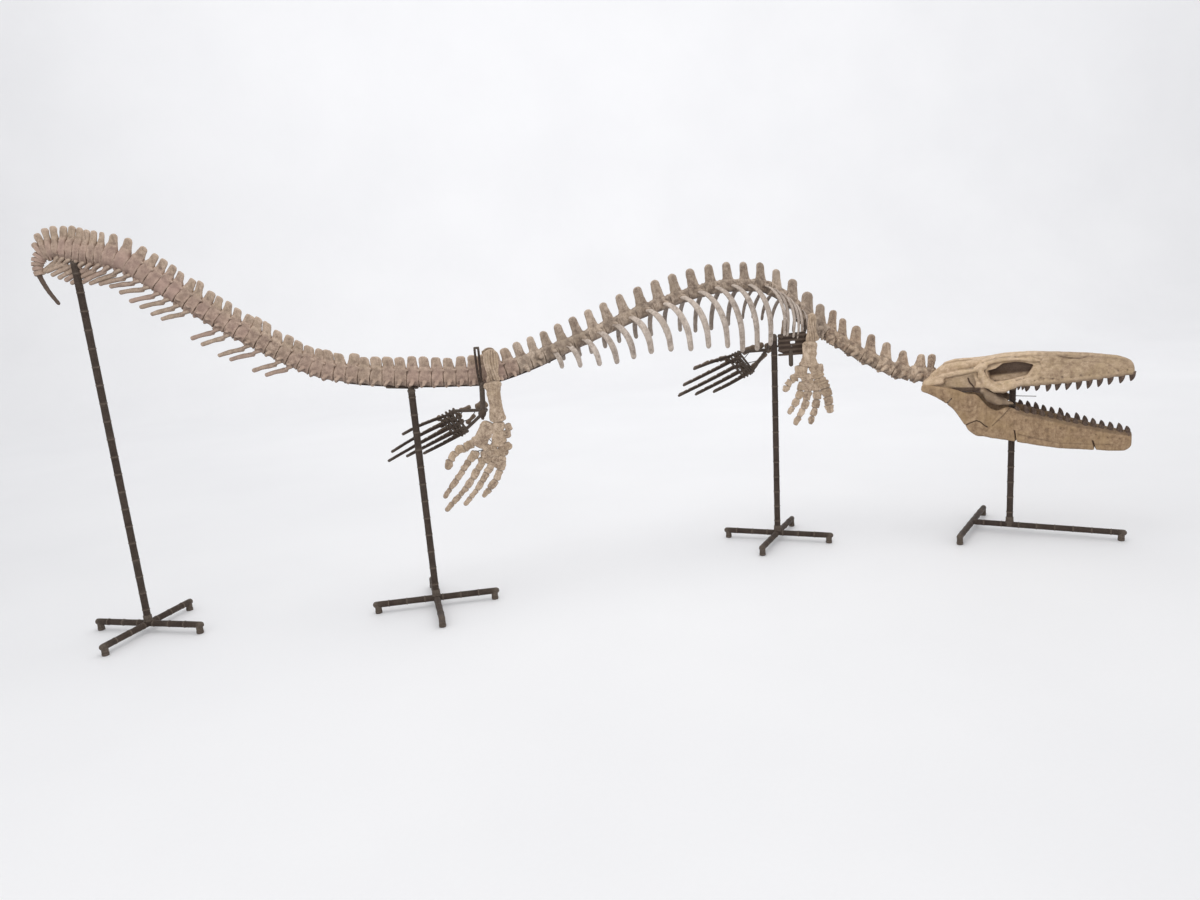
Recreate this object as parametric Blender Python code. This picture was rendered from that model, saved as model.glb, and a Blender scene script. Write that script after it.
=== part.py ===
# Mounted mosasaur skeleton on its four steel stands, life size.
# Metres, +Z up, floor at z = 0. The animal faces +X; its right side is at -Y.

import bpy
import bmesh
from math import sin, cos, pi, radians, sqrt, atan2
from mathutils import Vector

# ---------------------------------------------------------------- named sizes
SHIFT = Vector((0.0411, -0.0726, 0.0))   # brings the middle of the outline to the origin
GAP = 0.0003                            # clearance between pieces that touch

# middle line of the backbone, from the end of the tail to the back of the head
ROUTE = [
    (-2.425, -0.060, 1.545), (-2.465, -0.055, 1.616), (-2.491, -0.050, 1.698),
    (-2.476, -0.046, 1.759), (-2.412, -0.042, 1.785), (-2.303, -0.038, 1.765),
    (-2.135, -0.040, 1.715), (-1.990, -0.048, 1.600), (-1.735, -0.060, 1.395),
    (-1.420, -0.080, 1.190), (-1.250, -0.095, 1.135), (-1.000, -0.113, 1.098),
    (-0.740, -0.116, 1.078), (-0.560, -0.102, 1.082), (-0.215, -0.014, 1.174),
    (0.190, 0.118, 1.302), (0.558, 0.259, 1.379), (0.835, 0.351, 1.372),
    (0.947, 0.377, 1.330), (1.031, 0.387, 1.270), (1.187, 0.380, 1.125),
    (1.333, 0.355, 1.007), (1.455, 0.325, 0.930), (1.585, 0.289, 0.862),
    (1.690, 0.250, 0.838),
]

# each table gives a size at a distance along the backbone from the tail end
SPACING = [(0.0, 0.024), (0.25, 0.032), (0.45, 0.044), (0.80, 0.053), (2.20, 0.0555),
           (2.50, 0.068), (2.68, 0.085), (2.90, 0.089), (3.05, 0.100), (3.35, 0.109), (3.60, 0.102),
           (4.12, 0.101), (4.32, 0.070), (4.46, 0.084), (4.75, 0.104)]
CENTRUM = [(0.0, 0.005), (0.20, 0.011), (0.35, 0.018), (0.70, 0.025), (1.20, 0.030),
           (2.00, 0.034), (2.50, 0.034), (3.00, 0.030), (4.20, 0.030), (4.60, 0.034),
           (5.20, 0.036)]
SPINE_TOP = [(0.0, 0.006), (0.10, 0.012), (0.19, 0.026), (0.26, 0.062), (0.33, 0.090), (0.60, 0.092),
             (0.80, 0.092), (1.20, 0.092), (1.80, 0.098), (2.40, 0.112), (2.90, 0.130),
             (3.60, 0.132), (4.00, 0.128), (4.35, 0.118), (4.75, 0.100), (5.20, 0.085)]
SPINE_WIDE = [(0.0, 0.55), (0.35, 0.50), (0.70, 0.52), (1.10, 0.74), (2.40, 0.76),
              (2.60, 0.56), (4.10, 0.52), (5.20, 0.58)]
SPINE_LEAN = [(0.0, 0.05), (0.60, 0.10), (1.00, 0.32), (1.60, 0.22), (2.30, 0.10),
              (2.80, 0.16), (3.60, 0.14), (4.20, 0.08), (5.20, 0.10)]
SPINE_UPRIGHT = [(3.75, 0.0), (3.95, 0.80), (4.25, 0.70), (4.50, 0.10), (4.60, 0.0)]   # over the bend
WAIST = 0.74                 # middle of a centrum against its ends
SPINE_THICK = 0.011

CHEVRON_FROM, CHEVRON_TO = 0.36, 1.44
CHEVRON_LONG = [(0.36, 0.090), (0.50, 0.135), (0.62, 0.152), (1.20, 0.148), (1.44, 0.120)]
CHEVRON_SWEEP = [(0.24, 22.0), (0.50, 26.0), (0.75, 42.0), (1.10, 46.0), (1.62, 34.0)]

RIB_FROM, RIB_TO = 2.60, 4.14
RIB_WIDE = [(2.60, 0.040), (2.90, 0.110), (3.30, 0.160), (3.60, 0.180), (3.90, 0.165), (4.14, 0.120)]
RIB_DROP = [(2.60, 0.040), (2.85, 0.100), (3.10, 0.122), (3.24, 0.165), (3.44, 0.190), (3.54, 0.225),
            (3.64, 0.240), (3.79, 0.215), (3.88, 0.160), (3.96, 0.136), (4.14, 0.085)]
RIB_TURN = radians(112.0)
RIB_R = 0.0108
RIB_UPRIGHT = [(2.60, 0.30), (3.40, 0.35), (3.80, 0.70), (4.14, 0.85)]     # ribs hanging straight down

TRANSVERSE = [(0.80, 0.0), (1.10, 0.020), (1.60, 0.040), (2.10, 0.046), (2.20, 0.0)]   # side processes

# ends of the lengths that the backbone is divided into
BREAKS = [("tail_tip", 0.34), ("tail_4", 0.86), ("tail_3", 1.38), ("tail_2", 1.90),
          ("tail_1", 2.40), ("trunk_rear", 3.36), ("trunk_front", 4.30), ("neck", 9.0)]

# head: length along the snout, from a point under the back of the braincase
HEAD_AT = Vector((1.707, 0.239, 0.800))
HEAD_TURN = radians(-37.0)
SKULL = [  # x, half width of roof, half width at tooth line, top, bottom
    (0.012, 0.050, 0.076, 0.086, 0.012), (0.092, 0.078, 0.112, 0.106, 0.010),
    (0.185, 0.094, 0.122, 0.118, 0.008), (0.285, 0.088, 0.114, 0.124, 0.000),
    (0.372, 0.078, 0.102, 0.141, -0.006), (0.480, 0.066, 0.088, 0.149, -0.006),
    (0.610, 0.050, 0.069, 0.153, 0.002), (0.740, 0.038, 0.054, 0.149, 0.014),
    (0.850, 0.028, 0.043, 0.141, 0.030), (0.935, 0.019, 0.031, 0.118, 0.044),
    (0.978, 0.008, 0.014, 0.078, 0.047)]
ORBIT = [(0.335, 0.080), (0.400, 0.114), (0.500, 0.113), (0.522, 0.084), (0.490, 0.048), (0.355, 0.034)]
TEMPLE = [(0.058, 0.034), (0.070, 0.054), (0.200, 0.080), (0.258, 0.074), (0.240, 0.030)]
ROOF_HOLE = [(0.066, 0.020), (0.104, 0.056), (0.214, 0.066), (0.250, 0.028)]
JAW = [  # x, top, bottom, half thickness
    (-0.016, 0.004, -0.014, 0.006), (0.040, 0.008, -0.038, 0.010), (0.105, 0.003, -0.072, 0.013),
    (0.165, -0.004, -0.114, 0.015), (0.228, -0.012, -0.198, 0.016), (0.272, -0.030, -0.246, 0.017),
    (0.345, -0.066, -0.256, 0.018), (0.400, -0.098, -0.262, 0.018), (0.560, -0.130, -0.285, 0.017),
    (0.700, -0.170, -0.311, 0.016), (0.830, -0.202, -0.326, 0.014), (0.925, -0.232, -0.330, 0.012),
    (0.968, -0.222, -0.308, 0.009)]
JAW_OUT_BACK, JAW_OUT_FRONT = 0.162, 0.024      # how far a jaw stands out from the middle
TEETH_UP = 13
TEETH_LOW = 12
TOOTH_LONG, TOOTH_R = 0.046, 0.013

# stands: foot of the post, top of the post, directions and lengths of the two bars
TUBE_R = 0.0165
BAR_Z = 0.042
STANDS = {
    1: dict(at=(-2.308, -0.033), top=(-2.337, -0.029, 1.662), bars=((-21.5, 0.57), (66.0, 0.55))),
    2: dict(at=(-0.956, -0.137), top=(-0.964, -0.136, 1.040), bars=((1.0, 0.57), (97.0, 0.57))),
    3: dict(at=(0.878, 0.274), top=(0.893, 0.273, 1.111), bars=((-31.0, 0.57), (54.5, 0.56))),
    4: dict(at=(2.055, -0.023), top=(2.057, -0.024, 0.778), bars=((-37.5, 0.71), (48.5, 0.59))),
}

BONE = (0.42, 0.31, 0.21, 1.0)
HEAD_BONE = (0.46, 0.34, 0.21, 1.0)
STEEL = (0.045, 0.032, 0.026, 1.0)

# ------------------------------------------------------------------ beginning
for o in list(bpy.data.objects):
    bpy.data.objects.remove(o, do_unlink=True)

parts = bpy.data.collections.new("mosasaur_skeleton")
cutters = bpy.data.collections.new("cutters")
bpy.context.scene.collection.children.link(parts)
bpy.context.scene.collection.children.link(cutters)


def material(name, rgba, rough, metal):
    m = bpy.data.materials.new(name)
    m.use_nodes = True
    b = m.node_tree.nodes["Principled BSDF"]
    b.inputs["Base Color"].default_value = rgba
    b.inputs["Roughness"].default_value = rough
    b.inputs["Metallic"].default_value = metal
    m.diffuse_color = rgba
    return m


def own(name, rgba, rough=0.75, metal=0.0):
    return material("mat_" + name, rgba, rough, metal)


def at(table, x):
    """Size from a table of (distance, size), straight lines between entries."""
    if x <= table[0][0]:
        return table[0][1]
    for (x0, y0), (x1, y1) in zip(table, table[1:]):
        if x <= x1:
            return y0 + (y1 - y0) * (x - x0) / (x1 - x0)
    return table[-1][1]


def mesh_object(name, verts, faces, coll, mat=None):
    me = bpy.data.meshes.new(name)
    me.from_pydata([tuple(v) for v in verts], [], faces)
    me.update()
    ob = bpy.data.objects.new(name, me)
    coll.objects.link(ob)
    if mat:
        me.materials.append(mat)
    if coll is cutters:
        ob.hide_render = True
        ob.display_type = 'WIRE'
    return ob


class Shell:
    """Collects closed lofts and prisms that make one mesh."""

    def __init__(self):
        self.v, self.f = [], []

    def loft(self, rings):
        base, m = len(self.v), len(rings[0])
        for r in rings:
            self.v += list(r)
        for i in range(len(rings) - 1):
            for j in range(m):
                a, b = base + i * m + j, base + i * m + (j + 1) % m
                self.f.append((a, b, b + m, a + m))
        self.f.append(tuple(base + j for j in reversed(range(m))))
        last = base + (len(rings) - 1) * m
        self.f.append(tuple(last + j for j in range(m)))

    def cone(self, ring, tip):
        base, m = len(self.v), len(ring)
        self.v += list(ring) + [tip]
        for j in range(m):
            self.f.append((base + j, base + (j + 1) % m, base + m))
        self.f.append(tuple(base + j for j in reversed(range(m))))

    def object(self, name, coll, mat=None):
        ob = mesh_object(name, self.v, self.f, coll, mat)
        bm = bmesh.new()
        bm.from_mesh(ob.data)
        bmesh.ops.recalc_face_normals(bm, faces=bm.faces)
        bm.to_mesh(ob.data)
        bm.free()
        return ob


def boolean(ob, other, kind='UNION'):
    mod = ob.modifiers.new(kind.lower(), 'BOOLEAN')
    mod.operation = kind
    mod.object = other
    mod.solver = 'EXACT'
    return mod


def applied(ob):
    """The object's evaluated mesh, with its modifiers taken off again."""
    bpy.context.view_layer.update()
    dg = bpy.context.evaluated_depsgraph_get()
    me = bpy.data.meshes.new_from_object(ob.evaluated_get(dg))
    ob.modifiers.clear()
    ob.data = me
    return ob


def tidy(ob):
    """Weld what a Boolean left doubled and drop slivers."""
    bm = bmesh.new()
    bm.from_mesh(ob.data)
    bmesh.ops.remove_doubles(bm, verts=bm.verts, dist=0.00002)
    bmesh.ops.dissolve_degenerate(bm, edges=bm.edges, dist=0.00001)
    bm.to_mesh(ob.data)
    bm.free()


def united(name, shells, mat):
    """One closed body from several overlapping shells."""
    ob = shells[0].object(name, parts, mat)
    for k, s in enumerate(shells[1:]):
        boolean(ob, s.object("%s_cut_%d" % (name, k), cutters))
    applied(ob)
    tidy(ob)
    if not ob.data.materials:
        ob.data.materials.append(mat)
    return ob


# ------------------------------------------------------------- backbone curve
def smooth(points, per_span):
    """Centripetal-like curve through the stations (Catmull-Rom)."""
    p = [Vector(q) for q in points]
    p = [p[0] * 2 - p[1]] + p + [p[-1] * 2 - p[-2]]
    out = []
    for i in range(1, len(p) - 2):
        for k in range(per_span):
            u = k / per_span
            a, b, c, d = p[i - 1], p[i], p[i + 1], p[i + 2]
            out.append(0.5 * ((2 * b) + (c - a) * u + (2 * a - 5 * b + 4 * c - d) * u * u
                              + (3 * b - a - 3 * c + d) * u ** 3))
    out.append(p[-2].copy())
    return out


class Backbone:
    def __init__(self):
        self.p = [q + SHIFT for q in smooth(ROUTE, 24)]
        self.s = [0.0]
        for a, b in zip(self.p, self.p[1:]):
            self.s.append(self.s[-1] + (b - a).length)
        n = len(self.p)
        self.t = [(self.p[min(i + 1, n - 1)] - self.p[max(i - 1, 0)]).normalized() for i in range(n)]
        self.l = [None] * n
        prev = self.t[-1].cross(Vector((0, 0, 1))).normalized()
        for i in range(n - 1, -1, -1):
            c = self.t[i].cross(Vector((0, 0, 1)))
            w = min(1.0, c.length / 0.5)
            if c.length > 1e-6:
                c.normalize()
            if c.dot(prev) < 0:
                c = -c
                w = 0.0
            q = c * w + prev * (1 - w) if w > 0 else prev.copy()
            q -= self.t[i] * q.dot(self.t[i])
            q.normalize()
            self.l[i] = q
            prev = q
        self.length = self.s[-1]

    def frame(self, s):
        s = max(0.0, min(self.length, s))
        lo, hi = 0, len(self.s) - 1
        while hi - lo > 1:
            mid = (lo + hi) // 2
            if self.s[mid] <= s:
                lo = mid
            else:
                hi = mid
        f = (s - self.s[lo]) / max(1e-9, self.s[hi] - self.s[lo])
        p = self.p[lo].lerp(self.p[hi], f)
        t = self.t[lo].lerp(self.t[hi], f).normalized()
        l = self.l[lo].lerp(self.l[hi], f)
        l = (l - t * l.dot(t)).normalized()
        return p, t, l, l.cross(t).normalized()


spine = Backbone()

joints = [0.0]
while joints[-1] + at(SPACING, joints[-1]) < spine.length - 0.03:
    joints.append(joints[-1] + at(SPACING, joints[-1]))
joints.append(spine.length)


def ring(s, wide, high, sides, wing=0.0):
    p, t, l, n = spine.frame(s)
    out = []
    for k in range(sides):
        a = 2 * pi * k / sides
        reach = wing if k * 2 % sides == 0 else 0.0
        out.append(p + l * ((wide + reach) * cos(a)) + n * (high * sin(a) - 0.4 * reach))
    return out


def column(first, last, sides):
    """Spool-shaped centra end to end, from joint number first to last."""
    sh = Shell()
    rings = []
    for i in range(first, last):
        a, b = joints[i], joints[i + 1]
        ra, rb, rm = at(CENTRUM, a), at(CENTRUM, b), at(CENTRUM, (a + b) / 2)
        if i == first:
            rings.append(ring(a + (GAP if first else 0.0), ra, ra, sides))
        if b > 0.30:
            rings.append(ring((a + b) / 2, rm * WAIST, rm * 0.86, sides, at(TRANSVERSE, (a + b) / 2)))
        rings.append(ring(b - (GAP if i == last - 1 and b < spine.length else 0.0), rb, rb, sides))
    sh.loft(rings)
    return sh


def spine_blade(sh, a, b):
    """Upright blade on one vertebra, rounded at its top."""
    mid = (a + b) / 2
    p, t, l, n = spine.frame(mid)
    r, top = at(CENTRUM, mid), at(SPINE_TOP, mid)
    w = (b - a) * at(SPINE_WIDE, mid) / 2
    th = min(SPINE_THICK, r * 0.7) / 2
    lean = at(SPINE_LEAN, mid)
    up = at(SPINE_UPRIGHT, mid)
    n = (n * (1 - up) + Vector((0, 0, up))).normalized()
    outline = [(-w, r * 0.25), (w, r * 0.25), (w * 0.92, top * 0.90), (0.0, top), (-w * 0.92, top * 0.90)]
    if mid < 2.2:
        outline = [(-w, r * 0.25), (w, r * 0.25), (w * 0.75, top * 0.985), (-w * 0.75, top * 0.985)]
    pts = [p + t * (x - lean * max(0.0, y - r)) + n * y for x, y in outline]
    sh.loft([[q - l * th for q in pts], [q + l * th for q in pts]])


def square_tube(sh, pts, sizes, side, three=False):
    """Four- or three-sided bar along points, with its flats along the direction side."""
    rings = []
    for i, q in enumerate(pts):
        d = (pts[min(i + 1, len(pts) - 1)] - pts[max(i - 1, 0)]).normalized()
        e = (side - d * side.dot(d)).normalized()
        f = d.cross(e)
        w, h = sizes[i]
        if three:
            rings.append([q + e * w, q - e * w * 0.5 + f * h, q - e * w * 0.5 - f * h])
        else:
            rings.append([q + e * w, q + f * h, q - e * w, q - f * h])
    sh.loft(rings)


def rib(sh, a, b, hand):
    """Curved rib from the side of a vertebra; hand +1 is the right side."""
    mid = (a + b) / 2
    p, t, l, n = spine.frame(mid)
    r = at(CENTRUM, mid)
    wide, drop = at(RIB_WIDE, mid), at(RIB_DROP, mid)
    pts, sizes = [], []
    steps = 3
    up = at(RIB_UPRIGHT, mid)
    down = (n * (1 - up) + Vector((0, 0, up))).normalized()
    for k in range(steps + 1):
        a_ = RIB_TURN * k / steps
        out = r * 0.45 + (wide - r * 0.45) * sin(a_) if a_ < pi / 2 else wide * (1 - 0.10 * (a_ - pi / 2))
        pts.append(p + l * hand * out + n * r * 0.35 - down * (drop * (1 - cos(a_))) - t * (0.10 * drop * k / steps))
        sizes.append((RIB_R * (1.0 if k < steps else 0.75), RIB_R * (1.0 if k < steps else 0.75)))
    square_tube(sh, pts, sizes, t, True)


def chevron(sh, a, b):
    """Slender haemal rod swept back under a tail vertebra."""
    mid = a + (b - a) * 0.62
    p, t, l, n = spine.frame(mid)
    r = at(CENTRUM, mid)
    sw = radians(at(CHEVRON_SWEEP, mid))
    d = -t * cos(sw) - n * sin(sw)
    long_ = at(CHEVRON_LONG, mid)
    pts = [p - n * r * 0.55, p - n * (r + 0.004) + d * long_]
    square_tube(sh, pts, [(0.0076, 0.0072), (0.0056, 0.0052)], l, True)


def cut_in_half(ob, first, last):
    """Parts a length of the trunk along its middle into its two sides."""
    sh = Shell()
    rings = []
    ends = [joints[first] - 0.03] + [joints[i] + 0.017 for i in range(first, last)] + [joints[last] + 0.03]
    for s in ends:
        p, t, l, n = spine.frame(s)
        p = p + t * (s - max(0.0, min(spine.length, s)))
        rings.append([p - l * GAP * 0.7 - n * 0.09, p + l * GAP * 0.7 - n * 0.09,
                      p + l * GAP * 0.7 + n * 0.20, p - l * GAP * 0.7 + n * 0.20])
    for r in rings:
        sh.v += r
    # both sides of the blade bend along the same diagonals, so they stay parallel
    for i in range(len(rings) - 1):
        a0, a1, a2, a3 = (4 * i + k for k in range(4))
        b0, b1, b2, b3 = (4 * i + 4 + k for k in range(4))
        sh.f += [(a0, a1, b1), (a0, b1, b0), (a2, a3, b3), (a2, b3, b2),
                 (a1, a2, b2), (a1, b2, b1), (a0, b0, b3), (a0, b3, a3)]
    for k in (0, 4 * (len(rings) - 1)):
        sh.f.append((k, k + 1, k + 2, k + 3))
    boolean(ob, sh.object(ob.name + "_saw", cutters), 'DIFFERENCE').solver = 'MANIFOLD'
    applied(ob)
    tidy(ob)
    mid = joints[(first + last) // 2]
    p, t, l, n = spine.frame(mid)
    bm = bmesh.new()
    bm.from_mesh(ob.data)
    bm.verts.ensure_lookup_table()
    seen, groups = set(), []
    for v in bm.verts:
        if v in seen:
            continue
        todo, g = [v], []
        seen.add(v)
        while todo:
            q = todo.pop()
            g.append(q)
            for e in q.link_edges:
                w = e.other_vert(q)
                if w not in seen:
                    seen.add(w)
                    todo.append(w)
        groups.append(g)
    groups.sort(key=len, reverse=True)
    halves = []
    for g in groups[:2]:
        c = sum((v.co for v in g), Vector()) / len(g)
        halves.append(((c - p).dot(l), g))
    halves.sort(key=lambda h: h[0])
    base, made = ob.name, []
    for hand, (side, g) in zip(("_left", "_right"), halves):
        keep = set(g)
        idx = {v: i for i, v in enumerate(g)}
        faces = [[idx[v] for v in f.verts] for f in bm.faces if f.verts[0] in keep]
        made.append(mesh_object(base + hand, [v.co.copy() for v in g], faces, parts,
                                own(base + hand, BONE)))
    bm.free()
    bpy.data.objects.remove(ob, do_unlink=True)
    return made


# ------------------------------------------------------ the backbone's lengths
start = 0
for name, upto in BREAKS:
    end = start + 1
    while end < len(joints) - 1 and joints[end] < upto:
        end += 1
    tail = name.startswith("tail")
    body = column(start, end, 6)
    extra = Shell()
    for i in range(start, end):
        a, b = joints[i], joints[i + 1]
        mid = (a + b) / 2
        if at(SPINE_TOP, mid) > 0.016:
            spine_blade(extra, a, b)
        if RIB_FROM < mid < RIB_TO:
            rib(extra, a, b, 1)
            rib(extra, a, b, -1)
        if name == "neck" and i < end - 1:
            for hand in (1, -1):
                p, t, l, n = spine.frame(mid)
                r = at(CENTRUM, mid)
                square_tube(extra, [p + l * hand * r * 0.4 - n * r * 0.2,
                                    p + l * hand * (r + 0.022) - n * (r * 0.9 + 0.010) - t * 0.016],
                            [(0.013, 0.009), (0.008, 0.006)], t)
    shells = [body, extra]
    if tail:
        haem = Shell()
        for i in range(start, end):
            mid = joints[i]
            if CHEVRON_FROM < mid < CHEVRON_TO and (mid < 1.12 or i % 2 == 0):
                chevron(haem, joints[i], joints[i + 1])
        if haem.v:
            shells.append(haem)
    ob = united(name, shells, own(name, BONE))
    if name.startswith("trunk"):
        cut_in_half(ob, start, end)
    start = end


# ------------------------------------------------------------------ the head
HX = Vector((cos(HEAD_TURN), sin(HEAD_TURN), 0.0))
HR = Vector((sin(HEAD_TURN), -cos(HEAD_TURN), 0.0))     # to the animal's right


def head(x, w, z):
    return HEAD_AT + SHIFT + HX * x + HR * w + Vector((0, 0, z))


def tooth(sh, at_, down, r, long_, back):
    """Four-sided cone leaning back towards its tip."""
    c = at_ + Vector((0, 0, -down * long_ * 0.25))
    sh.cone([c + HX * r * cos(a) + HR * r * 0.8 * sin(a) for a in (0.0, pi / 2, pi, 3 * pi / 2)],
            at_ + Vector((0, 0, down * long_)) - HX * back)


skull = Shell()
rings = []
for x, wt, wb, zt, zb in SKULL:
    zm = zb + (zt - zb) * 0.62
    rings.append([head(x, 0, zt + 0.004), head(x, wt * 0.75, zt), head(x, wt * 1.05, zm + (zt - zm) * 0.45),
                  head(x, wb, zb + (zt - zb) * 0.25), head(x, wb * 0.96, zb), head(x, -wb * 0.96, zb),
                  head(x, -wb, zb + (zt - zb) * 0.25), head(x, -wt * 1.05, zm + (zt - zm) * 0.45),
                  head(x, -wt * 0.75, zt)])
skull.loft(rings)

quadrates = Shell()
for hand in (1, -1):
    quadrates.loft([[head(0.026, hand * (0.158 + dw), 0.026 + dz) for dw, dz in
                     ((-0.012, 0.0), (0.0, -0.012), (0.012, 0.0), (0.0, 0.014))],
                    [head(0.044, hand * (0.140 + dw), 0.052 + dz) for dw, dz in
                     ((-0.012, 0.0), (0.0, -0.016), (0.012, 0.0), (0.0, 0.016))],
                    [head(0.110, hand * (0.100 + dw), 0.074 + dz) for dw, dz in
                     ((-0.012, 0.0), (0.0, -0.014), (0.012, 0.0), (0.0, 0.014))]])

upper_teeth = Shell()
for k in range(TEETH_UP):
    f = k / (TEETH_UP - 1)
    x = 0.962 - (0.962 - 0.430) * f
    wb = [at([(q[0], q[2]) for q in SKULL], x), at([(q[0], q[4]) for q in SKULL], x)]
    big = 0.75 + 0.35 * sin(pi * min(1.0, f * 1.3 + 0.05))
    for hand in (1, -1):
        tooth(upper_teeth, head(x, hand * (wb[0] * 0.96 - 0.012), wb[1]), -1, TOOTH_R * 0.9,
              TOOTH_LONG * big, 0.006)

skull_ob = skull.object("skull", parts, own("skull", HEAD_BONE))
for k, s in enumerate((quadrates, upper_teeth)):
    boolean(skull_ob, s.object("skull_add_%d" % k, cutters))
holes = Shell()
for hand in (1, -1):
    for outline, inner in ((ORBIT, 0.045), (TEMPLE, 0.060)):
        holes.loft([[head(x, hand * inner, z) for x, z in outline],
                    [head(x, hand * 0.200, z) for x, z in outline]])
boolean(skull_ob, holes.object("skull_openings", cutters), 'DIFFERENCE')
roof = Shell()
for hand in (1, -1):
    roof.loft([[head(x, hand * w, 0.108) for x, w in ROOF_HOLE],
               [head(x, hand * w, 0.180) for x, w in ROOF_HOLE]])
boolean(skull_ob, roof.object("skull_roof_openings", cutters), 'DIFFERENCE')
applied(skull_ob)
tidy(skull_ob)


def jaw_out(x):
    f = x / 0.93
    return JAW_OUT_BACK + (JAW_OUT_FRONT - JAW_OUT_BACK) * f


for hand, side in ((1, "right"), (-1, "left")):
    sh = Shell()
    rings = []
    for x, zt, zb, th in JAW:
        w = hand * jaw_out(x)
        h = zt - zb
        rings.append([head(x, w + th * 0.45, zt), head(x, w + th, zt - h * 0.3), head(x, w + th * 0.8, zb + h * 0.12),
                      head(x, w, zb), head(x, w - th * 0.8, zb + h * 0.12), head(x, w - th, zt - h * 0.3),
                      head(x, w - th * 0.45, zt)])
    sh.loft(rings)
    low = Shell()
    for k in range(TEETH_LOW):
        f = k / (TEETH_LOW - 1)
        x = 0.952 - (0.952 - 0.430) * f
        zt = at([(q[0], q[1]) for q in JAW], x)
        big = 0.72 + 0.38 * sin(pi * min(1.0, 0.15 + f))
        tooth(low, head(x, hand * jaw_out(x), zt - 0.004), 1, TOOTH_R * 0.9, TOOTH_LONG * big, 0.004)
    united("jaw_" + side, [sh, low], own("jaw_" + side, HEAD_BONE))


# ------------------------------------------------------------------ the limbs
class Plane:
    """A flat frame that a paddle lies in: a along the limb, b across it."""

    def __init__(self, at_, along, across):
        self.o = Vector(at_) + SHIFT
        self.a = Vector(along).normalized()
        b = Vector(across)
        self.b = (b - self.a * b.dot(self.a)).normalized()
        self.n = self.a.cross(self.b).normalized()

    def p(self, a, b, n=0.0):
        return self.o + self.a * a + self.b * b + self.n * n


def limb_bone(sh, pl, p0, p1, wide, thick, sides=6):
    """Waisted bone from p0 to p1; wide gives its two ends and middle."""
    d = Vector((p1[0] - p0[0], p1[1] - p0[1]))
    q = Vector((-d.y, d.x)).normalized()
    rings = []
    for f, w, th in ((0.0, wide[0], thick), (0.5, wide[1], thick * 0.7), (1.0, wide[2], thick * 0.8)):
        c = Vector(p0) + d * f
        ringp = []
        for k in range(sides):
            a = 2 * pi * k / sides
            e = c + q * (w / 2 * cos(a))
            ringp.append(pl.p(e.x, e.y, th / 2 * sin(a)))
        rings.append(ringp)
    sh.loft(rings)


def digit(sh, pl, pts, bones, w0, w1, thick):
    """Chain of phalanges along a bent line, each narrower in its middle."""
    line = smooth([Vector((x, y, 0.0)) for x, y in pts], 8)
    run = [0.0]
    for a, b in zip(line, line[1:]):
        run.append(run[-1] + (b - a).length)
    rings = []
    total = run[-1]
    for k in range(2 * bones + 1):
        s = total * k / (2 * bones)
        i = 0
        while i < len(run) - 2 and run[i + 1] < s:
            i += 1
        f = (s - run[i]) / (run[i + 1] - run[i])
        c = line[i].lerp(line[i + 1], min(1.0, f))
        d = (line[i + 1] - line[i]).normalized()
        q = Vector((-d.y, d.x, 0.0))
        w = (w0 + (w1 - w0) * s / total) * (1.0 if k % 2 == 0 else 0.66) * (0.8 if k in (0, 2 * bones) else 1.0)
        th = thick * (1.0 - 0.35 * s / total)
        rings.append([pl.p(*(c + q * (w / 2)).xy, 0.0), pl.p(c.x, c.y, th / 2),
                      pl.p(*(c - q * (w / 2)).xy, 0.0), pl.p(c.x, c.y, -th / 2)])
    sh.loft(rings)


def plate(sh, pl, outline, thick, lift=0.0):
    sh.loft([[pl.p(x, y, lift - thick / 2) for x, y in outline],
             [pl.p(x, y, lift + thick / 2) for x, y in outline]])


def limb(kind, side, pl, upper, lower, palm, digits, thick):
    names = {"fore": ("humerus", "radius", "ulna", "fore_paddle"),
             "hind": ("femur", "tibia", "fibula", "hind_paddle")}[kind]
    sh = Shell()
    limb_bone(sh, pl, *upper, thick * 1.25)
    sh.object("%s_%s" % (names[0], side), parts, own(names[0] + side, BONE))
    for nm, bone in zip(names[1:3], lower):
        sh = Shell()
        limb_bone(sh, pl, *bone, thick * 0.8)
        sh.object("%s_%s" % (nm, side), parts, own(nm + side, BONE))
    hand = Shell()
    plate(hand, pl, palm, thick * 0.7)
    fingers = Shell()
    for pts, bones, w0, w1 in digits:
        digit(fingers, pl, pts, 3 if side == "right" else 2, w0, w1, thick * 0.62)
    united("%s_%s" % (names[3], side), [hand, fingers], own(names[3] + side, BONE))


FORE = dict(
    upper=((-0.022, -0.020), (0.094, -0.038), (0.062, 0.042, 0.074)),
    lower=(((0.106, 0.002), (0.140, 0.014), (0.048, 0.040, 0.052)),
           ((0.101, -0.058), (0.136, -0.060), (0.046, 0.036, 0.048))),
    palm=((0.155, 0.052), (0.170, 0.066), (0.204, 0.060), (0.212, 0.000), (0.200, -0.055), (0.168, -0.086),
          (0.143, -0.082)),
    digits=((((0.160, -0.070), (0.176, -0.118), (0.226, -0.143)), 3, 0.028, 0.019),
            (((0.180, -0.045), (0.250, -0.059), (0.344, -0.127)), 5, 0.024, 0.015),
            (((0.192, -0.012), (0.300, -0.032), (0.404, -0.094)), 5, 0.024, 0.015),
            (((0.192, 0.018), (0.280, 0.016), (0.404, -0.014)), 5, 0.024, 0.015),
            (((0.180, 0.052), (0.272, 0.078), (0.351, 0.093)), 5, 0.032, 0.022)),
    thick=0.030)

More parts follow.
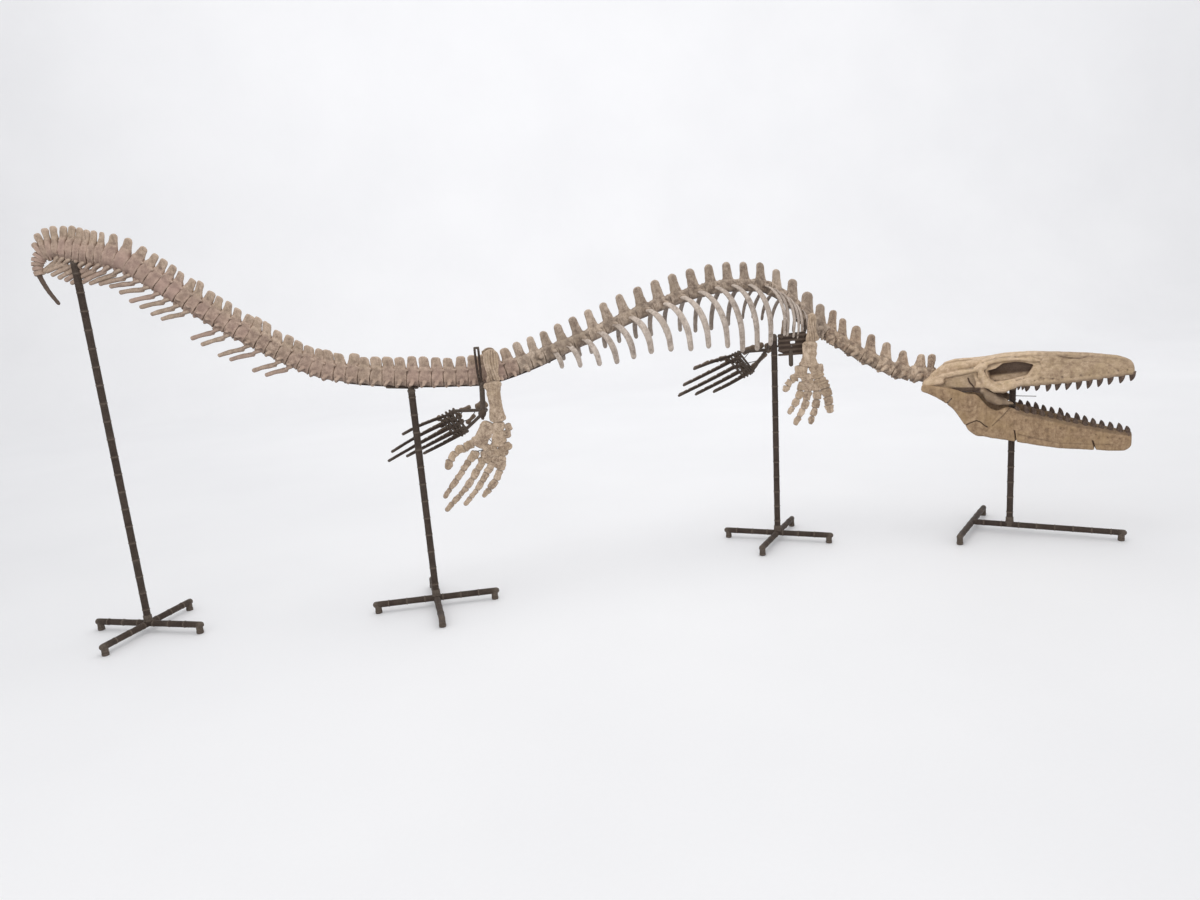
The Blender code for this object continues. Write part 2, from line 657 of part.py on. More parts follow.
HIND = dict(
    upper=((-0.016, -0.004), (0.166, 0.018), (0.086, 0.056, 0.084)),
    lower=(((0.184, -0.034), (0.238, -0.084), (0.048, 0.038, 0.048)),
           ((0.184, 0.036), (0.244, 0.008), (0.040, 0.030, 0.040))),
    palm=((0.262, -0.140), (0.270, -0.060), (0.264, 0.028), (0.310, 0.030), (0.375, 0.008), (0.372, -0.070),
          (0.310, -0.120)),
    digits=((((0.262, -0.120), (0.293, -0.208), (0.368, -0.255)), 3, 0.034, 0.020),
            (((0.290, -0.105), (0.396, -0.196), (0.501, -0.284)), 5, 0.025, 0.015),
            (((0.345, -0.080), (0.455, -0.170), (0.563, -0.284)), 5, 0.025, 0.015),
            (((0.360, -0.050), (0.465, -0.118), (0.545, -0.196)), 5, 0.025, 0.015),
            (((0.350, 0.000), (0.440, -0.036), (0.516, -0.107)), 4, 0.028, 0.018)),
    thick=0.034)

# the far paddles trail straighter behind the body
FORE_FAR = dict(
    upper=((-0.075, 0.012), (-0.012, 0.006), (0.050, 0.038, 0.060)),
    lower=(((-0.006, -0.020), (0.108, -0.034), (0.030, 0.020, 0.034)),
           ((-0.004, 0.030), (0.092, 0.070), (0.028, 0.018, 0.032))),
    palm=((0.116, -0.046), (0.100, 0.086), (0.150, 0.102), (0.200, 0.030), (0.222, -0.046)),
    digits=((((0.200, -0.040), (0.290, -0.058), (0.392, -0.066)), 4, 0.020, 0.014),
            (((0.200, -0.016), (0.330, -0.010), (0.480, -0.008)), 5, 0.019, 0.013),
            (((0.176, 0.021), (0.340, 0.030), (0.528, 0.034)), 5, 0.019, 0.013),
            (((0.168, 0.056), (0.290, 0.064), (0.440, 0.068)), 5, 0.019, 0.013),
            (((0.140, 0.084), (0.240, 0.096), (0.344, 0.098)), 4, 0.020, 0.014)),
    thick=0.026)

HIND_FAR = dict(
    upper=((-0.008, 0.004), (0.052, 0.022), (0.060, 0.044, 0.052)),
    lower=(((0.070, 0.000), (0.132, -0.002), (0.026, 0.018, 0.030)),
           ((0.067, 0.044), (0.124, 0.070), (0.026, 0.018, 0.028))),
    palm=((0.140, -0.020), (0.132, 0.094), (0.185, 0.112), (0.235, 0.060), (0.262, -0.012)),
    digits=((((0.235, -0.006), (0.330, -0.010), (0.425, -0.002)), 4, 0.020, 0.014),
            (((0.232, 0.022), (0.370, 0.036), (0.510, 0.058)), 5, 0.019, 0.013),
            (((0.222, 0.050), (0.380, 0.072), (0.544, 0.094)), 5, 0.019, 0.013),
            (((0.205, 0.078), (0.320, 0.094), (0.452, 0.106)), 5, 0.019, 0.013),
            (((0.172, 0.100), (0.270, 0.116), (0.370, 0.124)), 4, 0.020, 0.014)),
    thick=0.026)

FORE_FAR_PLANE = Plane((0.905, 0.500, 1.030), (-0.93, 0.10, -0.36), (0.40, 0.00, -0.92))
HIND_FAR_PLANE = Plane((-0.640, 0.085, 0.935), (-0.94, 0.10, -0.30), (0.30, 0.00, -0.95))

limb("fore", "right", Plane((1.071, 0.210, 1.047), (-0.02, -0.04, -1.0), (1.0, -0.12, 0.0)), **FORE)
limb("fore", "left", FORE_FAR_PLANE, **FORE_FAR)
limb("hind", "right", Plane((-0.592, -0.222, 1.050), (0.02, 0.0, -1.0), (1.0, -0.06, 0.0)), **HIND)
limb("hind", "left", HIND_FAR_PLANE, **HIND_FAR)

# shoulder blades and hip bones: flat plates beside the backbone
right_scapula = Plane((1.080, 0.212, 1.246), (0.0, 0.0, -1.0), (1.0, -0.15, 0.0))
left_scapula = Plane((1.060, 0.556, 1.200), (-0.10, 0.0, -1.0), (1.0, 0.10, 0.0))
BLADE = ((0.000, -0.040), (-0.012, 0.000), (0.004, 0.040), (0.070, 0.022), (0.120, 0.024), (0.165, 0.040),
         (0.172, 0.000), (0.168, -0.042), (0.120, -0.020), (0.070, -0.018))
for side, pl in (("right", right_scapula), ("left", left_scapula)):
    sh = Shell()
    plate(sh, pl, BLADE, 0.014)
    sh.object("scapula_" + side, parts, own("scapula_" + side, BONE))

right_hip = Plane((-0.585, -0.172, 1.198), (0.06, 0.0, -1.0), (1.0, 0.10, 0.0))
left_hip = Plane((-0.600, -0.034, 1.195), (0.06, 0.0, -1.0), (1.0, 0.10, 0.0))
ILIUM = ((0.000, -0.034), (-0.008, 0.000), (0.004, 0.038), (0.060, 0.046), (0.110, 0.026), (0.140, 0.030),
         (0.142, -0.034), (0.105, -0.028), (0.055, -0.036))
for side, pl in (("right", right_hip), ("left", left_hip)):
    sh = Shell()
    plate(sh, pl, ILIUM, 0.016)
    sh.object("ilium_" + side, parts, own("ilium_" + side, BONE))


# -------------------------------------------------------- stands and armature
def tube(sh, pts, r, sides=8):
    """Round bar along points; its ends are flat."""
    rings = []
    pts = [Vector(q) for q in pts]
    side = None
    for i, q in enumerate(pts):
        d = (pts[min(i + 1, len(pts) - 1)] - pts[max(i - 1, 0)]).normalized()
        if side is None:
            side = d.cross(Vector((0.3, 0.8, 0.1))).normalized()
        side = (side - d * side.dot(d)).normalized()
        f = d.cross(side)
        rings.append([q + side * (r * cos(2 * pi * k / sides)) + f * (r * sin(2 * pi * k / sides))
                      for k in range(sides)])
    sh.loft(rings)


def around_end(x):
    """Distance along the backbone where the end of the tail passes over x, past the hook."""
    lo, hi = 0.25, 1.0
    for _ in range(40):
        mid = (lo + hi) / 2
        lo, hi = (mid, hi) if spine.frame(mid)[0].x < x else (lo, mid)
    return lo


for k, st in STANDS.items():
    x0, y0 = st["at"][0] + SHIFT.x, st["at"][1] + SHIFT.y
    shells = []
    for j, (deg, long_) in enumerate(st["bars"]):
        d = Vector((cos(radians(deg)), sin(radians(deg)), 0.0))
        c = Vector((x0, y0, BAR_Z))
        if k == 4:
            # a long bar under the post with a cross bar at its left end
            ends = (c - d * 0.185, c + d * 0.525) if j == 0 else None
            if j == 1:
                d0 = Vector((cos(radians(st["bars"][0][0])), sin(radians(st["bars"][0][0])), 0.0))
                c = c - d0 * 0.185
                ends = (c - d * long_ / 2, c + d * long_ / 2)
        else:
            ends = (c - d * long_ / 2, c + d * long_ / 2)
        bar = Shell()
        tube(bar, ends, TUBE_R, 6)
        shells.append(bar)
        for i, e in enumerate(ends):
            if k == 4 and j == 0 and i == 0:
                continue
            inward = (ends[1 - i] - ends[i]).normalized()
            foot = Shell()
            b = e + inward * TUBE_R
            foot.loft([[Vector((b.x + TUBE_R * 0.98 * cos(2 * pi * m / 5 + 0.2), b.y + TUBE_R * 0.98 * sin(2 * pi * m / 5 + 0.2), z))
                        for m in range(5)] for z in (0.0, BAR_Z + 0.004)])
            shells.append(foot)
    united("stand_%d_base" % k, shells, own("stand_%d_base" % k, STEEL, 0.45, 0.6))
    post = Shell()
    tube(post, [(x0, y0, BAR_Z + TUBE_R + GAP), Vector(st["top"]) + SHIFT], TUBE_R, 8)
    shells = [post]
    if k == 1:
        # two prongs cradle the end of the tail
        top = Vector(st["top"]) + SHIFT
        p, t, l, n = spine.frame(around_end(top.x))
        for hand in (1, -1):
            prong = Shell()
            tube(prong, [top + Vector((0, 0, -0.03)) + l * hand * 0.006, top + l * hand * 0.0155,
                         p + l * hand * 0.0150 - n * (at(CENTRUM, 0.5) + 0.0050)], 0.0056, 4)
            shells.append(prong)
    united("stand_%d_post" % k, shells, own("stand_%d_post" % k, STEEL, 0.45, 0.6))


def steel(name, shells):
    united(name, shells, own(name, STEEL, 0.45, 0.6))


def bars(lines, r, sides=4):
    """One shell for each straight or bent bar."""
    out = []
    for pts in lines:
        sh = Shell()
        tube(sh, pts, r, sides)
        out.append(sh)
    return out


def paddle_frame(name, pl, table, lift, r, start, hatch):
    """Bars behind a far paddle: one along each digit, some across the palm."""
    lines = []
    for pts, bones, w0, w1 in table["digits"]:
        (a0, b0), (a1, b1), (a2, b2) = pts
        f = 0.80
        q = (a0 + (0.120 - a0) * f, b0 * 1.02)
        lines.append([pl.p(q[0], q[1], lift), pl.p(a1, b1, lift), pl.p(a2, b2, lift)] if abs(b1 - b0) > 0.012
                     else [pl.p(q[0], q[1], lift), pl.p(a2, b2, lift)])
    for (a0, b0), (a1, b1) in hatch:
        lines.append([pl.p(a0, b0, lift), pl.p(a1, b1, lift)])
    for a, b in start[1:]:
        lines.append([pl.p(start[0][0], start[0][1], lift), pl.p(a, b, lift)])
    steel(name, bars(lines, r, 3))


def around(x):
    """Distance along the backbone where it passes over x."""
    lo, hi = 0.5, spine.length
    for _ in range(40):
        mid = (lo + hi) / 2
        if spine.frame(mid)[0].x < x:
            lo = mid
        else:
            hi = mid
    return lo


# bars that carry the far paddles
paddle_frame("stand_fore_frame", FORE_FAR_PLANE, FORE_FAR, 0.0245, 0.0062,
             ((-0.010, 0.010), (0.136, -0.046), (0.112, 0.086)),
             (((0.135, -0.050), (0.100, 0.088)), ((0.168, -0.050), (0.122, 0.094)),
              ((0.205, -0.048), (0.160, 0.096))))
paddle_frame("stand_hind_frame", HIND_FAR_PLANE, HIND_FAR, 0.0245, 0.0062,
             ((0.004, 0.040), (0.156, -0.016), (0.142, 0.094)),
             (((0.150, -0.024), (0.133, 0.104)), ((0.190, -0.022), (0.163, 0.112)),
              ((0.232, -0.012), (0.195, 0.100))))

# hairpin and strut at the hips
H = [Vector(q) + SHIFT for q in ((-0.652, -0.166, 1.216), (-0.650, -0.166, 1.085), (-0.643, -0.160, 1.020),
                                 (-0.650, -0.150, 0.905), (-0.645, 0.040, 0.905))]
hair = [[H[0] + Vector((-0.008, 0, 0)), H[1] + Vector((-0.006, 0, 0)), H[2] + Vector((-0.002, 0, 0))],
        [H[0] + Vector((0.008, 0, 0)), H[1] + Vector((0.006, 0, 0)), H[2] + Vector((0.002, 0, 0))],
        [H[0] + Vector((-0.010, 0, -0.002)), H[0] + Vector((0.010, 0, -0.002))]]
steel("stand_hip_frame", bars(hair, 0.0048) + bars([[H[2] + Vector((0, 0, 0.012)), H[3]]], 0.0105, 6)
      + bars([[H[3] + Vector((0, -0.008, 0.008)), H[4]]], 0.0085, 6))

# shoulder plate at the top of the third post, with a bar up to the neck
C3 = Vector((STANDS[3]["top"][0], STANDS[3]["top"][1], 0.0)) + SHIFT
pl = Plane((C3.x - SHIFT.x + 0.0175, C3.y - SHIFT.y - 0.004, 1.120), (1.0, -0.10, 0.0), (0.0, 0.0, -1.0))
face = Shell()
plate(face, pl, ((0.000, -0.006), (0.150, -0.012), (0.158, 0.022), (0.156, 0.112), (0.030, 0.104), (0.000, 0.090)), 0.010)
window = Shell()
plate(window, pl, ((0.066, 0.022), (0.100, 0.022), (0.100, 0.062), (0.066, 0.062)), 0.030)
pieces = [face]
pieces += bars([[pl.p(0.068, 0.090, 0.001), pl.p(0.068, 0.160, 0.001)]], 0.009, 6)
top = spine.frame(around(C3.x + 0.200))
pieces += bars([[pl.p(0.136, 0.020, 0.001), pl.p(0.160, -0.030, 0.050),
                 top[0] - top[3] * (at(CENTRUM, around(C3.x + 0.200)) + 0.026)]], 0.0085, 6)
shoulder = united("stand_shoulder_frame", pieces, own("stand_shoulder_frame", STEEL, 0.45, 0.6))
boolean(shoulder, window.object("stand_shoulder_window", cutters), 'DIFFERENCE')
applied(shoulder)
tidy(shoulder)
# arm from the post to the far fore paddle
steel("stand_shoulder_arm", bars([[C3 + Vector((0.000, TUBE_R + 0.0030, 1.085)), C3 + Vector((0.004, TUBE_R + 0.02, 1.082)),
                                   C3 + Vector((0.012, 0.130, 1.060)), FORE_FAR_PLANE.p(-0.014, 0.008, 0.0400)]], 0.008, 6))

# long rod under the backbone, from the root of the tail to the neck
rod = Shell()
pts = []
s = 1.66
while s < 4.84:
    p, t, l, n = spine.frame(s)
    pts.append(p - n * (at(CENTRUM, s) + 0.0075))
    s += 0.15
tube(rod, pts, 0.0068, 4)
rod.object("stand_spine_rod", parts, own("stand_spine_rod", STEEL, 0.45, 0.6))
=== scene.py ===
# Looks of the mounted mosasaur skeleton on its four steel stands.
# Metres, +Z up, floor at z = 0, the same frame as the solids. The animal faces +X.

from math import sin, cos, pi, radians, sqrt

import bpy
import numpy as np
from mathutils import Matrix, Vector


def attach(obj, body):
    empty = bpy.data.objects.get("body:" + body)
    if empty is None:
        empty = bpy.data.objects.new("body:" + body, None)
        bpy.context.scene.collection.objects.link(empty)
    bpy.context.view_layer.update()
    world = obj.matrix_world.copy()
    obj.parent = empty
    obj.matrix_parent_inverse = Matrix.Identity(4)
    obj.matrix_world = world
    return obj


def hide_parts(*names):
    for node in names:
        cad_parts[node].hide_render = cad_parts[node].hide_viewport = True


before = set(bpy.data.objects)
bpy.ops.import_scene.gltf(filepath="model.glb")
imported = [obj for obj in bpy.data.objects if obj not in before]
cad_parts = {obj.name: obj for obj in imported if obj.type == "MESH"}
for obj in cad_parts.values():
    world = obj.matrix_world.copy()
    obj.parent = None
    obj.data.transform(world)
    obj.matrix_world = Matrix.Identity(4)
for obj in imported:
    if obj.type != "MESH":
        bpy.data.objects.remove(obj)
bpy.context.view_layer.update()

scene = bpy.context.scene
SHIFT = Vector((0.0411, -0.0726, 0.0))

# --------------------------------------------------------------------- camera
TURN, PITCH, ROLL = radians(-7.0), radians(11.56), radians(-4.17)
turned = Matrix.Rotation(TURN, 3, 'Z')
ahead = Vector((0.0, cos(PITCH), -sin(PITCH)))
level = Vector((1.0, 0.0, 0.0))
upward = level.cross(ahead)
cam_x = turned @ (cos(ROLL) * level + sin(ROLL) * upward)
cam_y = turned @ (-sin(ROLL) * level + cos(ROLL) * upward)
cam_z = turned @ (-ahead)
cam_at = turned @ (Vector((0.0, 0.0, 1.542)) - Vector((0.1, 4.35, 0.0))) + SHIFT
lens = bpy.data.cameras.new("camera")
lens.lens = 27.0
lens.sensor_width = 36.0
lens.sensor_fit = 'HORIZONTAL'
lens.clip_start = 0.05
lens.clip_end = 200.0
camera = bpy.data.objects.new("camera", lens)
scene.collection.objects.link(camera)
pose = Matrix((cam_x, cam_y, cam_z)).transposed().to_4x4()
pose.translation = cam_at
camera.matrix_world = pose
scene.camera = camera


# ------------------------------------------------------------ number helpers
def at(table, x):
    """Size from a table of (distance, size), straight lines between entries."""
    return float(np.interp(x, [q[0] for q in table], [q[1] for q in table]))


def curve(pairs, samples=240):
    """Smooth function through (x, value) pairs."""
    xs = np.array([q[0] for q in pairs], float)
    ys = np.array([q[1] for q in pairs], float)
    m = np.gradient(ys, xs)
    gx = np.linspace(xs[0], xs[-1], samples)
    i = np.clip(np.searchsorted(xs, gx, side='right') - 1, 0, len(xs) - 2)
    w = xs[i + 1] - xs[i]
    u = (gx - xs[i]) / w
    gy = ((2 * u ** 3 - 3 * u ** 2 + 1) * ys[i] + (u ** 3 - 2 * u ** 2 + u) * w * m[i]
          + (3 * u ** 2 - 2 * u ** 3) * ys[i + 1] + (u ** 3 - u ** 2) * w * m[i + 1])
    return lambda x: np.interp(x, gx, gy)


def smin(a, b, k):
    h = np.clip(0.5 + 0.5 * (b - a) / k, 0.0, 1.0)
    return b + (a - b) * h - k * h * (1.0 - h)


def smax(a, b, k):
    return -smin(-a, -b, k)


def ramp(x, a, b):
    u = np.clip((x - a) / (b - a), 0.0, 1.0)
    return u * u * (3.0 - 2.0 * u)


def rod(x, y, z, a, b, ra, rb, flat=(1.0, 1.0, 1.0)):
    """Distance to a tapered bar from a to b; flat squeezes it along an axis."""
    a = [q * f for q, f in zip(a, flat)]
    b = [q * f for q, f in zip(b, flat)]
    x, y, z = x * flat[0], y * flat[1], z * flat[2]
    d = [q - p for p, q in zip(a, b)]
    dd = sum(q * q for q in d) + 1e-12
    t = np.clip(((x - a[0]) * d[0] + (y - a[1]) * d[1] + (z - a[2]) * d[2]) / dd, 0.0, 1.0)
    return (np.sqrt((x - a[0] - d[0] * t) ** 2 + (y - a[1] - d[1] * t) ** 2 + (z - a[2] - d[2] * t) ** 2)
            - (ra + (rb - ra) * t)) / max(flat)


def rods(x, y, z, pts, radii, k, flat=(1.0, 1.0, 1.0)):
    out = None
    for i in range(len(pts) - 1):
        d = rod(x, y, z, pts[i], pts[i + 1], radii[i], radii[i + 1], flat)
        out = d if out is None else smin(out, d, k)
    return out


def blob(x, y, z, c, r):
    p = np.sqrt(((x - c[0]) / r[0]) ** 2 + ((y - c[1]) / r[1]) ** 2 + ((z - c[2]) / r[2]) ** 2)
    return (p - 1.0) * min(r)


def line2(x, z, pts):
    """Distance in a plane to a bent line."""
    best = None
    for (x0, z0), (x1, z1) in zip(pts, pts[1:]):
        dx, dz = x1 - x0, z1 - z0
        t = np.clip(((x - x0) * dx + (z - z0) * dz) / (dx * dx + dz * dz), 0.0, 1.0)
        d = (x - x0 - dx * t) ** 2 + (z - z0 - dz * t) ** 2
        best = d if best is None else np.minimum(best, d)
    return np.sqrt(best)


def area2(x, z, pts):
    """Signed distance in a plane to a closed outline, less than zero inside."""
    best, inside = None, None
    for (x0, z0), (x1, z1) in zip(pts, pts[1:] + pts[:1]):
        dx, dz = x1 - x0, z1 - z0
        t = np.clip(((x - x0) * dx + (z - z0) * dz) / (dx * dx + dz * dz), 0.0, 1.0)
        d = (x - x0 - dx * t) ** 2 + (z - z0 - dz * t) ** 2
        hit = ((z0 > z) != (z1 > z)) & (x < dx * (z - z0) / (dz if abs(dz) > 1e-9 else 1e-9) + x0)
        best = d if best is None else np.minimum(best, d)
        inside = hit if inside is None else inside ^ hit
    return np.where(inside, -1.0, 1.0) * np.sqrt(best)


def lattice(i, j, k, seed):
    n = (i * 374761393 + j * 668265263 + k * 2246822519 + seed * 3266489917) & 0xffffffff
    n = ((n ^ (n >> 13)) * 1274126177) & 0xffffffff
    n = n ^ (n >> 16)
    return (n & 0xffff) / 32767.5 - 1.0


def noise(x, y, z, seed=0):
    """Smooth noise from -1 to 1 with bumps one unit across."""
    i, j, k = (np.floor(q).astype(np.int64) for q in (x, y, z))
    u, v, w = x - i, y - j, z - k
    u, v, w = (q * q * (3.0 - 2.0 * q) for q in (u, v, w))
    out = 0.0
    for a in (0, 1):
        for b in (0, 1):
            for c in (0, 1):
                out = out + lattice(i + a, j + b, k + c, seed) * (u if a else 1 - u) * (v if b else 1 - v) * (w if c else 1 - w)
    return out


# ------------------------------------------------------------ mesh from a field
CORNERS = [(i, j, k) for i in (0, 1) for j in (0, 1) for k in (0, 1)]
SIDES = [(a, b) for a in CORNERS for b in CORNERS if a < b and sum(abs(p - q) for p, q in zip(a, b)) == 1]


def nets(D, lo, h):
    """Closed quad surface where the field changes sign."""
    s = D < 0
    c = np.zeros([q - 1 for q in D.shape], np.int8)
    for i, j, k in CORNERS:
        c += s[i:s.shape[0] - 1 + i, j:s.shape[1] - 1 + j, k:s.shape[2] - 1 + k]
    act = (c > 0) & (c < 8)
    cell = np.argwhere(act)
    num = np.full(act.shape, -1, np.int64)
    num[act] = np.arange(len(cell))
    acc, cnt = np.zeros((len(cell), 3)), np.zeros(len(cell))
    val = {q: D[cell[:, 0] + q[0], cell[:, 1] + q[1], cell[:, 2] + q[2]].astype(float) for q in CORNERS}
    for a, b in SIDES:
        da, db = val[a], val[b]
        m = (da < 0) != (db < 0)
        t = da[m] / (da[m] - db[m])
        acc[m] += np.array(a, float) + (np.array(b, float) - np.array(a, float)) * t[:, None]
        cnt[m] += 1
    V = np.asarray(lo) + h * (cell + acc / cnt[:, None])
    quads = []
    for ax in range(3):
        b, e = (ax + 1) % 3, (ax + 2) % 3
        cut0, cut1 = [slice(1, -1)] * 3, [slice(1, -1)] * 3
        cut0[ax], cut1[ax] = slice(0, -1), slice(1, None)
        s0, s1 = s[tuple(cut0)], s[tuple(cut1)]
        cross = s0 != s1
        idx = np.argwhere(cross)
        idx[:, b] += 1
        idx[:, e] += 1
        keep = s0[cross]
        ring = []
        for ob, oe in ((-1, -1), (0, -1), (0, 0), (-1, 0)):
            q = idx.copy()
            q[:, b] += ob
            q[:, e] += oe
            ring.append(num[q[:, 0], q[:, 1], q[:, 2]])
        Q = np.stack(ring, 1)
        Q[~keep] = Q[~keep][:, ::-1]
        quads.append(Q)
    return V, np.concatenate(quads)


def field_mesh(field, lo, hi, h, rough=(), seed=0):
    lo, hi = np.asarray(lo, float), np.asarray(hi, float)
    n = np.maximum(5, np.ceil((hi - lo) / h).astype(int) + 1)
    x = (lo[0] + h * np.arange(n[0])).astype(np.float32)[:, None, None]
    y = (lo[1] + h * np.arange(n[1])).astype(np.float32)[None, :, None]
    z = (lo[2] + h * np.arange(n[2])).astype(np.float32)[None, None, :]
    D = np.array(np.broadcast_to(field(x, y, z), tuple(n)), dtype=np.float32)
    if rough:
        i, j, k = np.nonzero(np.abs(D) < 2.2 * h)
        X, Y, Z = lo[0] + h * i, lo[1] + h * j, lo[2] + h * k
        for r, (sx, sy, sz, amp) in enumerate(rough):
            D[i, j, k] += (amp * noise(X / sx, Y / sy, Z / sz, seed * 7 + r)).astype(np.float32)
    for ax in range(3):
        for e in (0, -1):
            cut = [slice(None)] * 3
            cut[ax] = e
            D[tuple(cut)] = np.maximum(D[tuple(cut)], h)
    V, F = nets(D, lo, h)
    return relax(V, F, 1, 0.5), F


def pairs_of(F):
    out = [np.stack([F[:, i], F[:, (i + 1) % F.shape[1]]], 1) for i in range(F.shape[1])]
    return np.concatenate(out)


def relax(V, F, times, k):
    e = pairs_of(F)
    a = np.concatenate([e[:, 0], e[:, 1]])
    b = np.concatenate([e[:, 1], e[:, 0]])
    n = np.maximum(1, np.bincount(a, minlength=len(V)))[:, None]
    for _ in range(times):
        m = np.stack([np.bincount(a, V[b, c], minlength=len(V)) for c in range(3)], 1) / n
        V = V + k * (m - V)
    return V


# ------------------------------------------------------------- pieces and tubes
class Piece:
    """Many closed bodies collected into one mesh."""

    def __init__(self, name, below=0.0):
        self.name, self.V, self.F, self.n, self.below = name, [], [], 0, below
        self.tint, self.shade = [], []

    def add(self, V, F, tint=0.0, shade=0.0):
        V = np.asarray(V, float)
        for f in (F if isinstance(F, list) else [F]):
            if len(f):
                self.F.append(np.asarray(f, np.int64) + self.n)
        self.V.append(V)
        self.tint.append(np.full(len(V), tint, float))
        self.shade.append(np.broadcast_to(np.asarray(shade, float), (len(V),)).copy())
        self.n += len(V)

    def build(self, mats, body="root", slot=None, nodes=(), rings=None):
        V = np.concatenate(self.V)
        me = bpy.data.meshes.new(self.name)
        me.vertices.add(len(V))
        me.vertices.foreach_set("co", V.astype(np.float32).ravel())
        loops = np.concatenate([f.ravel() for f in self.F])
        sizes = np.concatenate([np.full(len(f), f.shape[1]) for f in self.F])
        me.loops.add(len(loops))
        me.loops.foreach_set("vertex_index", loops.astype(np.int32))
        me.polygons.add(len(sizes))
        starts = np.concatenate([[0], np.cumsum(sizes)[:-1]])
        me.polygons.foreach_set("loop_start", starts.astype(np.int32))
        me.polygons.foreach_set("use_smooth", np.ones(len(sizes), bool))
        me.update(calc_edges=True)
        me.validate()
        self.paint(me, V)
        me.materials.append(mats)
        ob = bpy.data.objects.new(self.name, me)
        scene.collection.objects.link(ob)
        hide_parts(*nodes)
        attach(ob, body)
        return ob

    def paint(self, me, V):
        """Per-bone tint, darkening (with painted shade added on faces that point down) and how hollow the surface is at
        each point.
        """
        nrm = np.zeros_like(V)
        total, cnt, size = np.zeros_like(V), np.zeros(len(V)), np.zeros(len(V))
        for F in self.F:
            if F.shape[1] == 4:
                c = np.cross(V[F[:, 2]] - V[F[:, 0]], V[F[:, 3]] - V[F[:, 1]])
            else:
                c = np.cross(V[F[:, 1]] - V[F[:, 0]], V[F[:, 2]] - V[F[:, 0]])
            for i in range(F.shape[1]):
                for q in range(3):
                    nrm[:, q] += np.bincount(F[:, i], c[:, q], minlength=len(V))
            e = pairs_of(F)
            for a, b in ((e[:, 0], e[:, 1]), (e[:, 1], e[:, 0])):
                for q in range(3):
                    total[:, q] += np.bincount(a, V[b, q], minlength=len(V))
                cnt += np.bincount(a, minlength=len(V))
                size += np.bincount(a, np.linalg.norm(V[a] - V[b], axis=1), minlength=len(V))
        cnt = np.maximum(cnt, 1)
        nrm /= np.maximum(1e-12, np.linalg.norm(nrm, axis=1))[:, None]
        hollow = np.sum((total / cnt[:, None] - V) * nrm, axis=1) / np.maximum(1e-6, size / cnt)
        for _ in range(3):
            s, c = np.zeros(len(V)), np.zeros(len(V))
            for F in self.F:
                e = pairs_of(F)
                s += np.bincount(e[:, 0], hollow[e[:, 1]], minlength=len(V)) + np.bincount(e[:, 1], hollow[e[:, 0]], minlength=len(V))
                c += np.bincount(e[:, 0], minlength=len(V)) + np.bincount(e[:, 1], minlength=len(V))
            hollow = 0.4 * hollow + 0.6 * s / np.maximum(1, c)
        # painted shade on faces that point down, stronger the more they face the floor
        below = self.below * np.clip(-1.25 * nrm[:, 2] - 0.20, 0.0, 1.0)
        shade = 1.0 - (1.0 - np.concatenate(self.shade)) * (1.0 - below)
        for name, data in (("tint", np.concatenate(self.tint)), ("shade", shade),
                           ("hollow", np.clip(hollow * 4.0, -1.0, 1.0))):
            a = me.attributes.new(name, 'FLOAT', 'POINT')
            a.data.foreach_set("value", data.astype(np.float32))


def sweep(pts, radii, sides=12, flat=1.0, side=None, round_ends=(True, True)):
    """Round bar along points with its own radius at each; flat squeezes it across side."""
    P = np.array([tuple(q) for q in pts], float)
    R = np.broadcast_to(np.asarray(radii, float), (len(P),)).copy()
    T = np.gradient(P, axis=0)
    T /= np.linalg.norm(T, axis=1)[:, None]
    for e, on in ((0, round_ends[0]), (-1, round_ends[1])):
        if on:
            sign = -1.0 if e == 0 else 1.0
            add_p = [P[e] + sign * T[e] * R[e] * sin(a) for a in (0.5, 1.0, 1.35)]
            add_r = [R[e] * cos(a) for a in (0.5, 1.0, 1.35)]
            if e == 0:
                P, R = np.vstack([add_p[::-1], P]), np.concatenate([add_r[::-1], R])
                T = np.vstack([[T[0]] * 3, T])
            else:
                P, R = np.vstack([P, add_p]), np.concatenate([R, add_r])
                T = np.vstack([T, [T[-1]] * 3])
    S = np.zeros_like(P)
    s = np.array(side if side is not None else (0.31, 0.83, 0.12), float)
    for i in range(len(P)):
        s = s - T[i] * s.dot(T[i])
        s = s / np.linalg.norm(s)
        S[i] = s
    B = np.cross(T, S)
    a = 2 * pi * np.arange(sides) / sides
    V = (P[:, None] + S[:, None] * (R[:, None] * np.cos(a))[..., None]
         + B[:, None] * (R[:, None] * flat * np.sin(a))[..., None]).reshape(-1, 3)
    n = len(P)
    i, j = np.meshgrid(np.arange(n - 1), np.arange(sides), indexing='ij')
    k = (j + 1) % sides
    Q = np.stack([i * sides + j, i * sides + k, (i + 1) * sides + k, (i + 1) * sides + j], -1).reshape(-1, 4)
    V = np.vstack([V, P[0], P[-1]])
    j = np.arange(sides)
    k = (j + 1) % sides
    tri = np.concatenate([np.stack([np.full(sides, n * sides), k, j], 1),
                          np.stack([np.full(sides, n * sides + 1), (n - 1) * sides + j, (n - 1) * sides + k], 1)])
    return V, [Q, tri]


def smooth(points, per_span):
    """Curve through the stations (Catmull-Rom)."""
    p = [Vector(q) for q in points]
    p = [p[0] * 2 - p[1]] + p + [p[-1] * 2 - p[-2]]
    out = []
    for i in range(1, len(p) - 2):
        for k in range(per_span):
            u = k / per_span
            a, b, c, d = p[i - 1], p[i], p[i + 1], p[i + 2]
            out.append(0.5 * ((2 * b) + (c - a) * u + (2 * a - 5 * b + 4 * c - d) * u * u
                              + (3 * b - a - 3 * c + d) * u ** 3))
    out.append(p[-2].copy())
    return out


